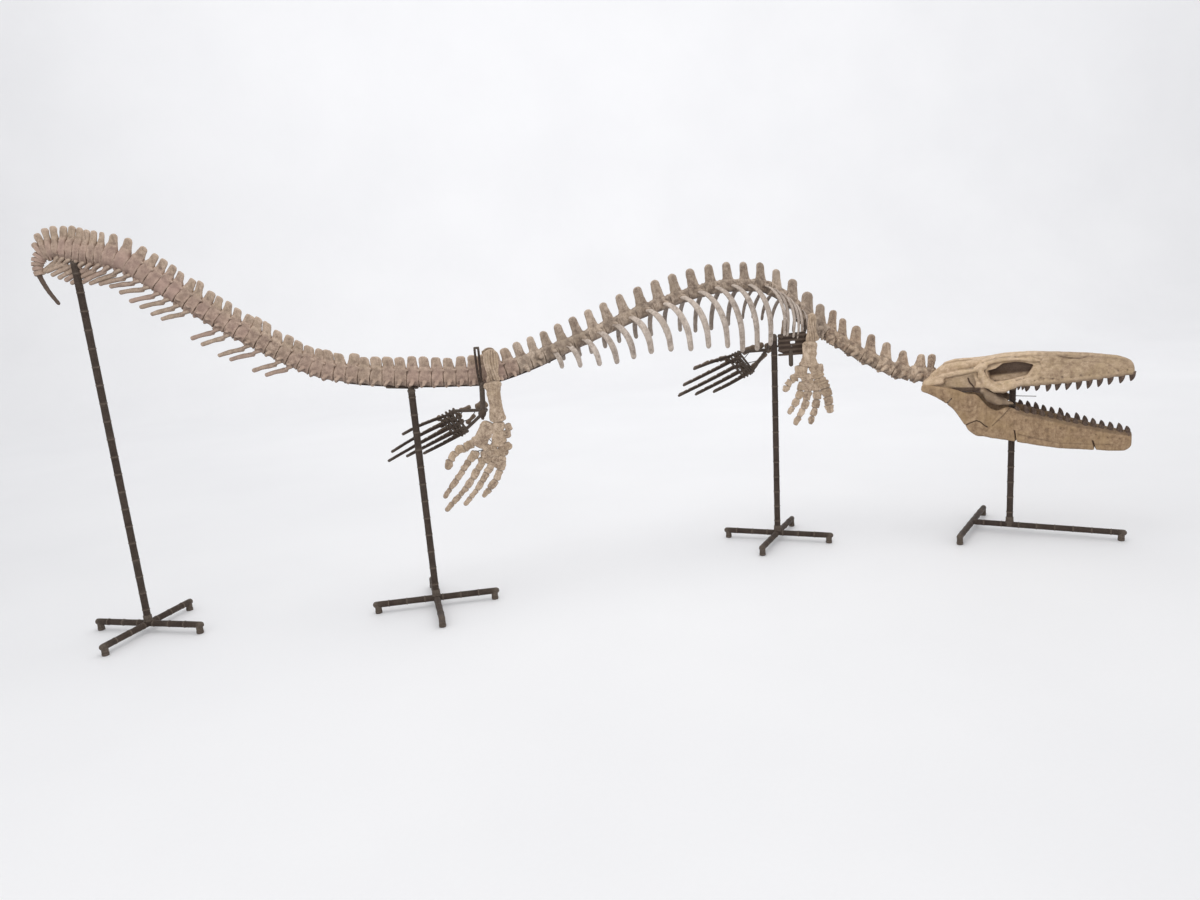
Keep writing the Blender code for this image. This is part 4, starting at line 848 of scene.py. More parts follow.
# ------------------------------------------------------ backbone, length by length
start = 0
for name, upto, nodes in LENGTHS:
    end = start + 1
    while end < len(joints) - 1 and joints[end] < upto:
        end += 1
    tail = name.startswith("tail")
    # the second number sets the painted shade on faces that point down
    piece = Piece(name + "_vertebrae", 0.80 if name == "neck" else 0.62)
    for i in range(start, end):
        if joints[i] > FIRST_BODY:
            V, F, low, rosy = vertebra(i)
            piece.add(V, F, BONE_TINT[i + 30] * (0.5 if tail else 1.0) + rosy, low)
    piece.build(TAIL_BONE if tail else (NECK_BONE if name == "neck" else TRUNK_BONE), slot="tail_bone" if tail else "body_bone", nodes=nodes)
    if tail:
        haem = Piece(name + "_chevrons", 0.55)
        for i in range(start, end):
            s = joints[i]
            if CHEVRON_FROM < s < CHEVRON_TO and not 0.94 < s < 1.03 and not (s > 1.03 and i % 3 == 0):
                for V, F in chevron(i):
                    haem.add(V, F, BONE_TINT[i + 60], 0.0)
        if haem.n:
            haem.build(TAIL_BONE, slot="tail_bone", nodes=nodes)
    if name.startswith("trunk"):
        for hand, side in ((1, "right"), (-1, "left")):
            cage = Piece("%s_ribs_%s" % (name, side), 0.40)
            for i in range(start, end):
                if RIB_FROM < (joints[i] + joints[i + 1]) / 2 < RIB_TO:
                    V, F = rib(i, hand)
                    # the far-side ribs are painted darker as shade, and the doubled ribs at the shoulder a little more,
                    # as shade between the crowded ribs
                    cage.add(V, F, BONE_TINT[i + (0 if hand > 0 else 100)], 0.0 if hand > 0 else 0.32)
                    if SHOULDER[0] < (joints[i] + joints[i + 1]) / 2 < SHOULDER[1]:
                        cage.add(*rib(i, hand, 0.5), BONE_TINT[i + (40 if hand > 0 else 140)], 0.10 if hand > 0 else 0.38)
            cage.build(RIB_BONE, slot="body_bone", nodes=("%s_%s" % (name, side),))
    start = end


# ------------------------------------------------------------------- the head
HEAD_AT = Vector((1.707, 0.239, 0.800)) + SHIFT
HEAD_TURN = radians(-37.0)
HX = Vector((cos(HEAD_TURN), sin(HEAD_TURN), 0.0))
HR = Vector((sin(HEAD_TURN), -cos(HEAD_TURN), 0.0))
UP = Vector((0.0, 0.0, 1.0))


def head(x, w, z):
    return HEAD_AT + HX * x + HR * w + UP * z


SKULL = [(0.006, 0.064, 0.090, 0.030, -0.010), (0.036, 0.070, 0.098, 0.048, -0.018), (0.064, 0.074, 0.106, 0.074, -0.024),
         (0.104, 0.080, 0.113, 0.104, -0.028),
         (0.177, 0.092, 0.120, 0.124, -0.030), (0.260, 0.090, 0.115, 0.130, -0.024), (0.310, 0.084, 0.110, 0.136, -0.008),
         (0.393, 0.076, 0.099, 0.150, -0.004),
         (0.480, 0.066, 0.088, 0.156, -0.004), (0.610, 0.050, 0.069, 0.155, 0.004), (0.740, 0.038, 0.054, 0.149, 0.016),
         (0.850, 0.029, 0.043, 0.139, 0.030), (0.920, 0.022, 0.034, 0.126, 0.040), (0.962, 0.014, 0.023, 0.104, 0.044),
         (0.982, 0.006, 0.012, 0.078, 0.046)]
roof_w = curve([(q[0], q[1]) for q in SKULL])
tooth_w = curve([(q[0], q[2]) for q in SKULL])
roof_z = curve([(q[0], q[3]) for q in SKULL])
base_z = curve([(q[0], q[4]) for q in SKULL])
ORBIT = [(0.325, 0.074), (0.362, 0.084), (0.396, 0.110), (0.452, 0.117), (0.495, 0.112), (0.535, 0.100), (0.524, 0.076),
         (0.509, 0.053), (0.468, 0.041), (0.410, 0.026), (0.361, 0.019), (0.338, 0.034)]
NARIS = [(0.640, 0.143), (0.690, 0.130), (0.738, 0.127), (0.776, 0.137)]
ROOF_HOLE = [(0.072, 0.022), (0.110, 0.060), (0.214, 0.068), (0.252, 0.046), (0.246, 0.022)]
UPPER_TEETH = [0.966 - 0.0455 * k for k in range(11)] + [0.491, 0.474, 0.458, 0.443]
LOWER_TEETH = [0.958 - 0.0375 * k for k in range(14)]


def skull_field(x, y, z):
    W = np.abs(y)
    zt, zb = roof_z(x), base_z(x)
    wt, wb = roof_w(x), tooth_w(x)
    f = (z - zb) / (zt - zb)
    wide = wb + (wt - wb) * ramp(f, 0.18, 0.92)
    crown = zt + 0.003 - 0.010 * (W / 0.10) ** 2
    out = smax((W - wide) * 0.94, (z - crown) * 0.96, 0.022 * (1.0 - 0.45 * ramp(x, 0.75, 0.98)))
    out = smax(out, zb - z, 0.007)
    out = smax(out, x - 0.978, 0.020)
    out = smax(out, 0.004 - x, 0.012)
    # low swelling over the tooth row, with a dip between the sockets
    lip = rods(x, W, z, [(q, float(tooth_w(q)) - 0.008, float(base_z(q)) + 0.010) for q in (0.40, 0.55, 0.70, 0.83, 0.93, 0.965)],
               [0.012, 0.013, 0.012, 0.011, 0.009, 0.007], 0.01)
    out = smin(out, lip, 0.012)
    # hollow of the cheek under the side bar
    cheek = smax(area2(x, z, [(0.040, -0.020), (0.100, 0.026), (0.190, 0.047), (0.262, 0.062), (0.276, 0.020), (0.268, -0.030)]),
                 (wb - 0.009) - W, 0.005)
    out = smax(out, -cheek, 0.005)
    # upright crack at the back of the cheek
    out = out + 0.010 * np.exp(-(line2(x, z, [(0.236, 0.040), (0.242, 0.020), (0.262, -0.004), (0.259, -0.030)]) / 0.0030) ** 2)
    # groove between the upper band and the side bar
    out = smax(out, -smax(line2(x, z, [(0.085, 0.056), (0.112, 0.070), (0.201, 0.0885), (0.262, 0.0935)]) - 0.0050,
                          (wb - 0.024) - W, 0.004), 0.004)
    # orbit: a deep shelf below, open towards the middle above
    depth = 0.034 + 0.040 * ramp(0.066 - z, -0.012, 0.036) + 0.0 * x
    out = smax(out, -smax(area2(x, z, ORBIT), depth - W, 0.008), 0.006)
    # supratemporal openings through the roof
    out = smax(out, -smax(area2(x, W, ROOF_HOLE), 0.034 - z, 0.008), 0.006)
    # back of the head between the cheeks
    out = smax(out, -blob(x, W, z, (-0.004, 0.058, 0.052), (0.036, 0.034, 0.026)), 0.010)
    # nostril: long narrow opening high on the snout
    out = smax(out, -smax(line2(x, z, NARIS) - 0.0030, (wt - 0.0045) - W, 0.002), 0.002)
    # bars and bosses
    W0 = W
    bar = rods(x, W0, z, [(0.026, 0.118, 0.016), (0.060, 0.122, 0.032), (0.120, 0.1235, 0.054), (0.200, 0.1235, 0.071), (0.284, 0.117, 0.089)],
               [0.0105, 0.0105, 0.0110, 0.0115, 0.0130], 0.008)
    out = smin(out, bar, 0.006)
    out = smin(out, blob(x, W0, z, (0.303, 0.108, 0.099), (0.024, 0.015, 0.018)), 0.014)
    jugal = rods(x, W0, z, [(0.292, 0.112, 0.086), (0.304, 0.112, 0.050), (0.330, 0.110, 0.010), (0.366, 0.106, -0.014), (0.404, 0.101, -0.016),
                            (0.452, 0.094, 0.006), (0.515, 0.083, 0.030), (0.560, 0.076, 0.040)],
                 [0.0150, 0.0150, 0.0170, 0.0185, 0.0190, 0.0165, 0.0120, 0.0070], 0.012, (1.0, 1.35, 1.0))
    out = smin(out, jugal, 0.008)
    # brow ridge along the top of the orbit
    brow = rods(x, W0, z, [(0.318, 0.094, 0.112), (0.372, 0.088, 0.128), (0.440, 0.080, 0.134), (0.520, 0.068, 0.128), (0.565, 0.062, 0.118)],
                [0.009, 0.010, 0.009, 0.008, 0.005], 0.01)
    out = smin(out, brow, 0.012)
    # quadrate, and the wing of the palate seen under the cheek
    quad = rods(x, W0, z, [(0.028, 0.140, 0.000), (0.044, 0.137, 0.014), (0.105, 0.122, 0.026)], [0.015, 0.020, 0.018], 0.01)
    out = smin(out, quad, 0.010)
    wing = rods(x, W0, z, [(0.300, 0.088, -0.020), (0.345, 0.086, -0.062), (0.388, 0.080, -0.086), (0.436, 0.068, -0.100)],
                [0.016, 0.021, 0.022, 0.014], 0.012, (1.0, 2.2, 1.0))
    out = smin(out, wing, 0.010)
    inner = rods(x, W0, z, [(0.120, 0.090, -0.004), (0.200, 0.092, -0.018), (0.290, 0.088, -0.016)], [0.016, 0.018, 0.018], 0.012, (1.0, 1.6, 1.0))
    out = smin(out, inner, 0.010)
    # deep notch between the two rear wings, with the joint knob for the neck in it
    out = smax(out, -area2(x, W, [(-0.060, -0.050), (-0.060, 0.068), (0.004, 0.060), (0.070, 0.044), (0.096, 0.026), (0.100, -0.050)]), 0.008)
    out = smin(out, blob(x, W, z, (0.096, 0.0, 0.034), (0.022, 0.018, 0.018)), 0.012)
    # vault of the palate in front of the stand
    vault = smax(blob(x, W, z, (0.720, 0.0, -0.006), (0.240, 0.050, 0.036)), W - (wb - 0.020), 0.006)
    out = smax(out, -vault, 0.008)
    # crest between the roof openings, ridge of the snout
    out = smin(out, rods(x, W, z, [(0.110, 0.0, 0.102), (0.160, 0.0, 0.114), (0.260, 0.0, 0.124)], [0.008, 0.009, 0.008], 0.01), 0.012)
    # seams: shallow grooves on the outside
    seams = [[(0.560, 0.052), (0.575, 0.084), (0.562, 0.112), (0.585, 0.146)],
             [(0.575, 0.084), (0.640, 0.102), (0.700, 0.099), (0.772, 0.112), (0.850, 0.104), (0.902, 0.070), (0.918, 0.046)],
             [(0.455, 0.024), (0.520, 0.040), (0.590, 0.036), (0.650, 0.026)],
             [(0.262, 0.096), (0.285, 0.120), (0.300, 0.134)],
             [(0.560, 0.112), (0.520, 0.134), (0.450, 0.140)]]
    for pts in seams:
        g = line2(x, z, pts)
        out = out + 0.0022 * np.exp(-(g / 0.0028) ** 2)
    # pits over the tooth row
    for k in range(13):
        q = 0.945 - 0.040 * k
        d = np.sqrt((x - q) ** 2 + (z - float(base_z(q)) - 0.024 - 0.005 * (k % 2)) ** 2)
        out = out + 0.0040 * np.exp(-(d / 0.0034) ** 2)
    # gentle swellings of the upper jaw
    out = out - 0.0016 * np.sin(x * 138.0 + 1.0) * ramp(x, 0.50, 0.60) * (1 - ramp(z, 0.055, 0.090))
    return out


def skull_shade(V):
    """Painted shade inside the openings, in the cheek hollow and grooves, under the side bar, cheek and palate, along
    the roof edge and at the back of the head; darker cracks and a darker band along the tooth row; all from where the
    points are.
    """
    x, W, z = V[:, 0], np.abs(V[:, 1]), V[:, 2]
    wide = tooth_w(x)
    sh = np.zeros(len(V))
    inside = ramp(-area2(x, z, ORBIT), -0.001, 0.004) * ramp(wide - W, 0.014, 0.030)
    low = 1.0 - ramp(z - (0.050 + 0.10 * (x - 0.388)), -0.004, 0.008)
    sh = np.maximum(sh, inside * (0.86 - 0.62 * low))
    inroof = ramp(-area2(x, W, ROOF_HOLE), -0.002, 0.006) * ramp(roof_z(x) - z, 0.006, 0.030)
    sh = np.maximum(sh, 0.55 * inroof)
    naris = (1 - ramp(line2(x, z, NARIS), 0.003, 0.007))
    sh = np.maximum(sh, 0.34 * naris)
    under = ramp(0.004 - z, 0.0, 0.016) * (1 - ramp(x, 0.40, 0.44)) * ramp(0.098 - W, -0.006, 0.012)
    sh = np.maximum(sh, 0.80 * under)
    sh = np.maximum(sh, 0.88 * ramp(-0.003 - z, 0.0, 0.007) * ramp(x, 0.13, 0.17) * (1 - ramp(x, 0.290, 0.305)))
    cheek = ramp(-area2(x, z, [(0.040, -0.020), (0.100, 0.026), (0.190, 0.047), (0.262, 0.062), (0.276, 0.020), (0.268, -0.030)]), -0.002, 0.004)
    back = ramp(x, 0.205, 0.262)
    sh = np.maximum(sh, cheek * (0.08 + 0.34 * back) * (1 - ramp(W - wide, -0.006, 0.004)))
    crack = 1 - ramp(line2(x, z, [(0.236, 0.040), (0.242, 0.020), (0.262, -0.004), (0.259, -0.030)]), 0.002, 0.006)
    sh = np.maximum(sh, 0.85 * crack)
    edge = np.exp(-((roof_z(x) - 0.010 - z) / 0.0045) ** 2) * ramp(x, 0.30, 0.36) * (1 - ramp(x, 0.93, 0.96)) * ramp(W, roof_w(x) * 0.75, roof_w(x) * 0.92)
    sh = np.maximum(sh, 0.26 * edge)
    groove = 1 - ramp(line2(x, z, [(0.085, 0.056), (0.112, 0.070), (0.201, 0.0885), (0.262, 0.0935)]), 0.002, 0.007)
    sh = np.maximum(sh, 0.50 * groove * ramp(W, wide * 0.75, wide * 0.85))
    gum = (1 - ramp(z - base_z(x), 0.004, 0.016)) * ramp(x, 0.43, 0.50)
    sh = np.maximum(sh, 0.34 * gum)
    bar_low = 1 - ramp(line2(x, z, [(0.050, 0.014), (0.120, 0.038), (0.200, 0.055), (0.262, 0.068)]), 0.002, 0.008)
    sh = np.maximum(sh, 0.42 * bar_low * (1 - ramp(W - wide, -0.004, 0.004)))
    vault = ramp(base_z(x) + 0.012 - z, 0.0, 0.010) * ramp(wide - W, 0.018, 0.030) * ramp(x, 0.42, 0.50)
    sh = np.maximum(sh, 0.45 * vault)
    sh = np.maximum(sh, 0.52 * ramp(-0.022 - z, 0.0, 0.012) * ramp(x, 0.275, 0.300) * (1 - ramp(x, 0.47, 0.50)))
    sh = np.maximum(sh, 0.62 * ramp(0.020 - x, 0.0, 0.014) * (1 - ramp(W, 0.08, 0.10)))
    return sh


V, F = field_mesh(skull_field, (-0.034, -0.176, -0.104), (1.000, 0.176, 0.176), 0.0042,
                  ((0.030, 0.030, 0.022, 0.0010), (0.010, 0.010, 0.009, 0.0006), (0.0055, 0.0055, 0.0055, 0.0004)), 5)
head_shade = skull_shade(V)
head_tint = 1.10 - 1.75 * ramp(V[:, 0], 0.46, 0.66)
V, F = placed(V, F, HEAD_AT, HX, -HR, UP)
skull = Piece("skull_bone", 0.35)
skull.add(V, F, head_tint, head_shade)
skull.build(HEAD_BONE, slot="skull_bone", nodes=("skull",))


def tooth(piece, root, down, r, long_, back, tint, turn=0.0):
    """Curved conical crown with faint ridges, on a swollen root."""
    pts, R = [], []
    for k in range(11):
        f = k / 10.0
        pts.append(root - UP * down * 0.010 * (1 - min(1.0, f * 4)) + UP * (down * long_ * f) - HX * (back * f * f) + HR * (turn * f * f))
        R.append(r * (1.10 if k == 0 else 1.0) * (1.0 - f ** 1.7) ** 0.72 + 0.0008)
    V, F = sweep(pts, R, 14, 0.82, tuple(HX), (False, True))
    f = np.clip(((V - np.array(root)) @ np.array((0, 0, down))) / long_, 0, 1)
    piece.add(V, F, tint, ramp(0.30 - f, 0.0, 0.34))


teeth = Piece("upper_teeth")
for k, x in enumerate(UPPER_TEETH):
    small = k > 10
    for hand in (1, -1):
        q = BONE_TINT[k + (20 if hand > 0 else 60)]
        size = (0.58 if small else 0.80 + 0.30 * sin(pi * min(1.0, k / 10.0 + 0.08))) * (1.0 + 0.10 * q)
        root = head(x + 0.004 * q, hand * (float(tooth_w(x)) - 0.012), float(base_z(x)) + 0.002)
        tooth(teeth, root, -1, 0.0134 * (0.62 if small else 0.92 + 0.12 * size), 0.041 * size, 0.007 * size, q, hand * 0.002)
teeth.build(TOOTH, slot="skull_bone", nodes=("skull",))

JAW_TOP = curve([(-0.022, 0.000), (0.000, 0.010), (0.033, 0.011), (0.106, 0.002), (0.175, -0.013), (0.235, -0.036), (0.278, -0.044),
                 (0.308, -0.076), (0.338, -0.110), (0.368, -0.126), (0.414, -0.112), (0.443, -0.113), (0.473, -0.129),
                 (0.560, -0.151), (0.660, -0.178), (0.800, -0.211), (0.900, -0.232), (0.950, -0.240), (0.980, -0.246)])
JAW_BOTTOM = curve([(-0.022, -0.012), (0.037, -0.030), (0.145, -0.096), (0.172, -0.122), (0.229, -0.208), (0.268, -0.252),
                    (0.330, -0.262), (0.461, -0.283), (0.560, -0.303), (0.664, -0.318), (0.825, -0.329), (0.925, -0.332), (0.955, -0.328), (0.980, -0.306)])
CRACKS = [([(0.163, -0.060), (0.150, -0.074), (0.132, -0.100)], 0.0022, 0.010),
          ([(0.226, -0.204), (0.250, -0.190), (0.282, -0.177), (0.302, -0.186), (0.318, -0.202), (0.333, -0.211)], 0.0020, 0.008),
          ([(0.356, -0.204), (0.400, -0.157), (0.438, -0.110)], 0.0016, 0.004),
          ([(0.459, -0.228), (0.463, -0.256), (0.468, -0.292)], 0.0024, 0.012),
          ([(0.809, -0.282), (0.815, -0.300), (0.823, -0.336)], 0.0026, 0.012),
          ([(0.475, -0.246), (0.560, -0.270), (0.663, -0.293), (0.803, -0.298), (0.900, -0.300)], 0.0026, 0.0018),
          ([(0.300, -0.100), (0.250, -0.130), (0.190, -0.120), (0.120, -0.070)], 0.0026, 0.0014)]


def jaw_out(x):
    return 0.162 + (0.024 - 0.162) * x / 0.93


def jaw_field(x, y, z):
    """Lower jaw; y is measured outward from the middle of its own thickness."""
    top, low = JAW_TOP(x), JAW_BOTTOM(x)
    f = (z - low) / np.maximum(0.004, top - low)
    thick = np.interp(x, (-0.02, 0.04, 0.10, 0.20, 0.30, 0.45, 0.60, 0.85, 0.94, 0.975),
                      (0.009, 0.014, 0.015, 0.014, 0.015, 0.017, 0.017, 0.016, 0.014, 0.012))
    bulge = thick * (0.62 + 0.38 * np.sin(pi * np.clip(0.12 + 0.80 * f, 0, 1)))
    out = smax(np.abs(y) - bulge, smax(z - top, low - z, 0.004), 0.010)
    out = smax(out, smax(x - 0.976, 0.014 - x, 0.002), 0.010)
    # roll of bone along the tooth row and along the lower edge
    lip = rods(x, y, z, [(q, 0.0, float(JAW_TOP(q)) - 0.012) for q in (0.46, 0.60, 0.75, 0.88, 0.95)], [0.012, 0.014, 0.013, 0.012, 0.009], 0.01)
    out = smin(out, lip, 0.012)
    keel = rods(x, y, z, [(q, 0.002, float(JAW_BOTTOM(q)) + 0.014) for q in (0.25, 0.36, 0.50, 0.66, 0.80)], [0.010, 0.014, 0.014, 0.012, 0.009], 0.01)
    out = smin(out, keel, 0.014)
    # rounded ends of the rear bones where the front bone laps over them
    out = out + 0.0040 * ramp(-(x - (0.352 + 0.62 * (z + 0.205))), -0.002, 0.006) * ramp(y, -0.004, 0.008) * ramp(x, 0.10, 0.30)
    # broad hollow on the inner face
    out = smax(out, -blob(x, y, z, (0.190, -0.026, -0.070), (0.110, 0.018, 0.040)), 0.010)
    out = smax(out, -rod(x, y, z, (0.460, -0.022, -0.205), (0.900, -0.020, -0.278), 0.010, 0.007), 0.008)
    for pts, w, deep in CRACKS:
        g = line2(x, z, pts)
        out = out + deep * np.exp(-(g / w) ** 2) * (1.0 if deep > 0.007 else ramp(y, -0.002, 0.006))
    # faint upright ribbing on the front bone
    rib_ = np.sin(x * 330.0 + 2.0 * np.sin(x * 37.0)) * ramp(x, 0.42, 0.50) * (1 - ramp(x, 0.93, 0.96))
    out = out - 0.0003 * rib_ * ramp(y, -0.002, 0.006) * ramp(f, 0.02, 0.20) * (1 - ramp(f, 0.80, 1.0))
    for k in range(9):
        q = 0.925 - 0.052 * k
        d = np.sqrt((x - q) ** 2 + (z - float(JAW_TOP(q)) + 0.034 + 0.004 * (k % 2)) ** 2)
        out = out + 0.0032 * np.exp(-(d / 0.0032) ** 2) * ramp(y, 0.0, 0.006)
    return out


for hand, side in ((1, "right"), (-1, "left")):
    V, F = field_mesh(jaw_field, (-0.036, -0.034, -0.350), (0.992, 0.036, 0.024), 0.0039,
                      ((0.030, 0.030, 0.022, 0.0010), (0.010, 0.010, 0.012, 0.0005), (0.0055, 0.0055, 0.0055, 0.0004)), 21 + hand)
    x, y, z = V[:, 0], V[:, 1], V[:, 2]
    sh = np.zeros(len(V))
    for pts, w, deep in CRACKS:
        sh = np.maximum(sh, (0.95 if deep > 0.007 else (0.55 if deep > 0.003 else 0.18)) * (1 - ramp(line2(x, z, pts), w * 0.7, w * 1.7)))
    # painted shade on the inner face of the jaw
    sh = np.maximum(sh, 0.35 * ramp(-y, 0.004, 0.012))
    sh = np.maximum(sh, 0.46 * ramp(z - JAW_TOP(x), -0.020, -0.008) * ramp(x, 0.42, 0.50))
    # the far jaw gets more painted shade on its inner half
    if hand < 0:
        sh = np.maximum(sh, 0.30 * ramp(-y, -0.004, 0.006))
    lateral = hand * (jaw_out(x) + y)
    V = np.array(tuple(HEAD_AT)) + x[:, None] * np.array(tuple(HX)) + lateral[:, None] * np.array(tuple(HR)) + z[:, None] * np.array((0, 0, 1.0))
    if hand > 0:
        F = F[:, ::-1]
    piece = Piece("jaw_%s_bone" % side, 0.35)
    piece.add(V, F, 0.1 * hand, sh)
    piece.build(JAW_BONE, slot="skull_bone", nodes=("jaw_" + side,))
    low = Piece("lower_teeth_" + side)
    for k, x in enumerate(LOWER_TEETH):
        q = BONE_TINT[k + (120 if hand > 0 else 160)]
        size = (0.70 + 0.26 * ramp(k / 13.0, 0.1, 0.8)) * (1.0 + 0.22 * q) * (0.80 if k == 13 else 1.0)
        root = head(x + 0.004 * q, hand * jaw_out(x), float(JAW_TOP(x)) - 0.004)
        tooth(low, root, 1, 0.0138 * (0.92 + 0.14 * size), 0.045 * size, 0.007 * size, q, hand * 0.003)
    low.build(TOOTH, slot="skull_bone", nodes=("jaw_" + side,))


# ------------------------------------------------------------------ the limbs
class Plane:
    """A flat frame that a paddle lies in: a along the limb, b across it."""

    def __init__(self, at_, along, across):
        self.o = Vector(at_) + SHIFT
        self.a = Vector(along).normalized()
        b = Vector(across)
        self.b = (b - self.a * b.dot(self.a)).normalized()
        self.n = self.a.cross(self.b).normalized()

    def p(self, a, b, n=0.0):
        return self.o + self.a * a + self.b * b + self.n * n


def limb_piece(pl, p0, p1, w0, wm, w1, thick, h, seed, power=2.0, ends=0.010):
    """One bone of a limb: flattened, waisted, with rounded rugged ends."""
    d = Vector((p1[0] - p0[0], p1[1] - p0[1]))
    long_ = d.length
    d.normalize()
    q = Vector((-d.y, d.x))
    half = long_ / 2
    cx, cy = (p0[0] + p1[0]) / 2, (p0[1] + p1[1]) / 2

    def field(x, y, z):
        u = np.clip(x / half, -1.1, 1.1)
        e = np.abs(u) ** power
        hw = wm / 2 + (np.where(u < 0, w0, w1) / 2 - wm / 2) * e
        ht = thick / 2 * (0.66 + 0.34 * e)
        rr = ((np.abs(y) / hw) ** 2.4 + (np.abs(z) / ht) ** 2.4) ** (1 / 2.4)
        out = (rr - 1.0) * np.minimum(hw, ht) * 0.9
        bow = x * x / half * 0.0
        return smax(out, np.abs(x + bow) - half + 0.10 * half * (y / (hw + 1e-6)) ** 2, ends)

    wide = max(w0, w1, wm)
    V, F = field_mesh(field, (-half - 0.006, -wide / 2 - 0.006, -thick / 2 - 0.005), (half + 0.006, wide / 2 + 0.006, thick / 2 + 0.005), h,
                      ((0.018, 0.018, 0.018, 0.0014 * min(1.0, wide / 0.04)), (0.007, 0.007, 0.007, 0.0007 * min(1.0, wide / 0.03))), seed)
    o = pl.p(cx, cy)
    ex = pl.a * d.x + pl.b * d.y
    ey = pl.a * q.x + pl.b * q.y
    rim = 0.42 * ramp(np.abs(V[:, 0]), half - 0.0075, half - 0.0015)
    return placed(V, F, o, ex, ey, pl.n) + (rim,)


def along(pts, count):
    """Points evenly spaced down a bent line in a paddle's plane."""
    line = smooth([Vector((x, y, 0.0)) for x, y in pts], 10)
    run = [0.0]
    for a, b in zip(line, line[1:]):
        run.append(run[-1] + (b - a).length)
    out = []
    for k in range(count + 1):
        s = run[-1] * k / count
        i = int(np.clip(np.searchsorted(run, s) - 1, 0, len(line) - 2))
        c = line[i].lerp(line[i + 1], min(1.0, (s - run[i]) / (run[i + 1] - run[i])))
        out.append((c.x, c.y))
    return out, run[-1]


def pebbles(palm, step, seed):
    """Places for the small wrist or ankle bones, in offset rows inside an outline."""
    xs, ys = [q[0] for q in palm], [q[1] for q in palm]
    gen = np.random.default_rng(seed)
    out = []
    row, x = 0, min(xs) + step * 0.42
    while x < max(xs):
        y = min(ys) + (step * 0.5 if row % 2 else step * 0.12)
        while y < max(ys):
            a, b = x + gen.uniform(-0.003, 0.003), y + gen.uniform(-0.003, 0.003)
            if float(area2(np.array(a), np.array(b), list(palm))) < -step * 0.16:
                out.append((a, b))
            y += step
        row += 1
        x += step * 0.88
    return out


def limb(kind, side, pl, upper, lower, palm, digits, thick, bones, step, shade, seed):
    names = {"fore": ("humerus", "radius", "ulna", "fore_paddle"),
             "hind": ("femur", "tibia", "fibula", "hind_paddle")}[kind]
    gen = np.random.default_rng(seed)
    far = side == "left"
    p0, p1, (w0, wm, w1) = upper
    piece = Piece("%s_%s_bone" % (names[0], side))
    V, F, rim = limb_piece(pl, p0, p1, w0, wm, w1, thick * 1.20, 0.0030, seed, 2.2, 0.014)
    piece.add(V, F, gen.uniform(-0.5, 0.5), np.maximum(rim, shade))
    piece.build(LIMB_BONE, slot="body_bone", nodes=("%s_%s" % (names[0], side),))
    for k, (p0, p1, (w0, wm, w1)) in enumerate(lower):
        piece = Piece("%s_%s_bone" % (names[1 + k], side))
        V, F, rim = limb_piece(pl, p0, p1, w0, wm, w1, thick * 0.80, 0.0026, seed + 1 + k, 1.8, 0.008)
        piece.add(V, F, gen.uniform(-0.5, 0.5), np.maximum(rim, shade))
        piece.build(LIMB_BONE, slot="body_bone", nodes=("%s_%s" % (names[1 + k], side),))
    node_name = "%s_%s" % (names[3], side)
    paddle = Piece(node_name + "_bones", 0.35)
    pins = Piece(node_name + "_pins")
    for k, (a, b) in enumerate(pebbles(palm, step, seed + 5)):
        ang = gen.uniform(-0.6, 0.6)
        r = step * gen.uniform(0.54, 0.64) * (0.80 if far else 1.0)
        d = Vector((cos(ang), sin(ang))) * r
        V, F, rim = limb_piece(pl, (a - d.x, b - d.y), (a + d.x, b + d.y), r * 1.45, r * 2.0, r * 1.45, thick * 0.70, 0.0032, seed + 10 + k, 2.0, 0.006)
        paddle.add(V, F, gen.uniform(-1, 1), np.maximum(rim, shade))
    for j, (pts, fewer, wa, wb) in enumerate(digits):
        count = bones[j]
        stations, total = along(pts, count)
        for k in range(count):
            (ax, ay), (bx, by) = stations[k], stations[k + 1]
            d = Vector((bx - ax, by - ay))
            g = -0.0010 / max(1e-6, d.length)
            f = k / count
            w = wa + (wb - wa) * f
            wn = wa + (wb - wa) * (k + 1) / count
            tip = k == count - 1
            V, F, rim = limb_piece(pl, (ax + d.x * g, ay + d.y * g), (bx - d.x * g, by - d.y * g), w * 0.98, w * (0.82 if far else 0.95), wn * (0.70 if tip else 0.96),
                              thick * 0.62 * (1 - 0.35 * f), 0.0030, seed + 50 + 9 * j + k, 2.0, 0.006 if far else 0.0042)
            paddle.add(V, F, gen.uniform(-1, 1), np.maximum(rim, shade))
        root = palm_middle(palm)
        first = Vector(stations[0])
        lead = first.lerp(root, 0.35)
        line = [pl.p(lead.x, lead.y)] + [pl.p(x, y) for x, y in stations[:-1]] + [pl.p(*Vector(stations[-1]).lerp(Vector(stations[-2]), 0.4))]
        pins.add(*sweep(line, 0.0022, 8), 0.0, 0.0)
    c = palm_middle(palm)
    e = Vector(lower[0][1]).lerp(Vector(lower[1][1]), 0.5)
    u = Vector(upper[1])
    pins.add(*sweep([pl.p(*Vector(upper[0]).lerp(u, 0.6)), pl.p(u.x, u.y), pl.p(*Vector(lower[0][0]).lerp(Vector(lower[0][1]), 0.5)), pl.p(c.x, c.y)], 0.0022, 8))
    pins.add(*sweep([pl.p(u.x, u.y), pl.p(*Vector(lower[1][0]).lerp(Vector(lower[1][1]), 0.5)), pl.p(c.x, c.y)], 0.0022, 8))
    paddle.build(LIMB_BONE, slot="body_bone", nodes=(node_name,))
    pins.build(STEEL, slot="stand_steel", nodes=(node_name,))


def palm_middle(palm):
    return Vector((sum(q[0] for q in palm) / len(palm), sum(q[1] for q in palm) / len(palm)))


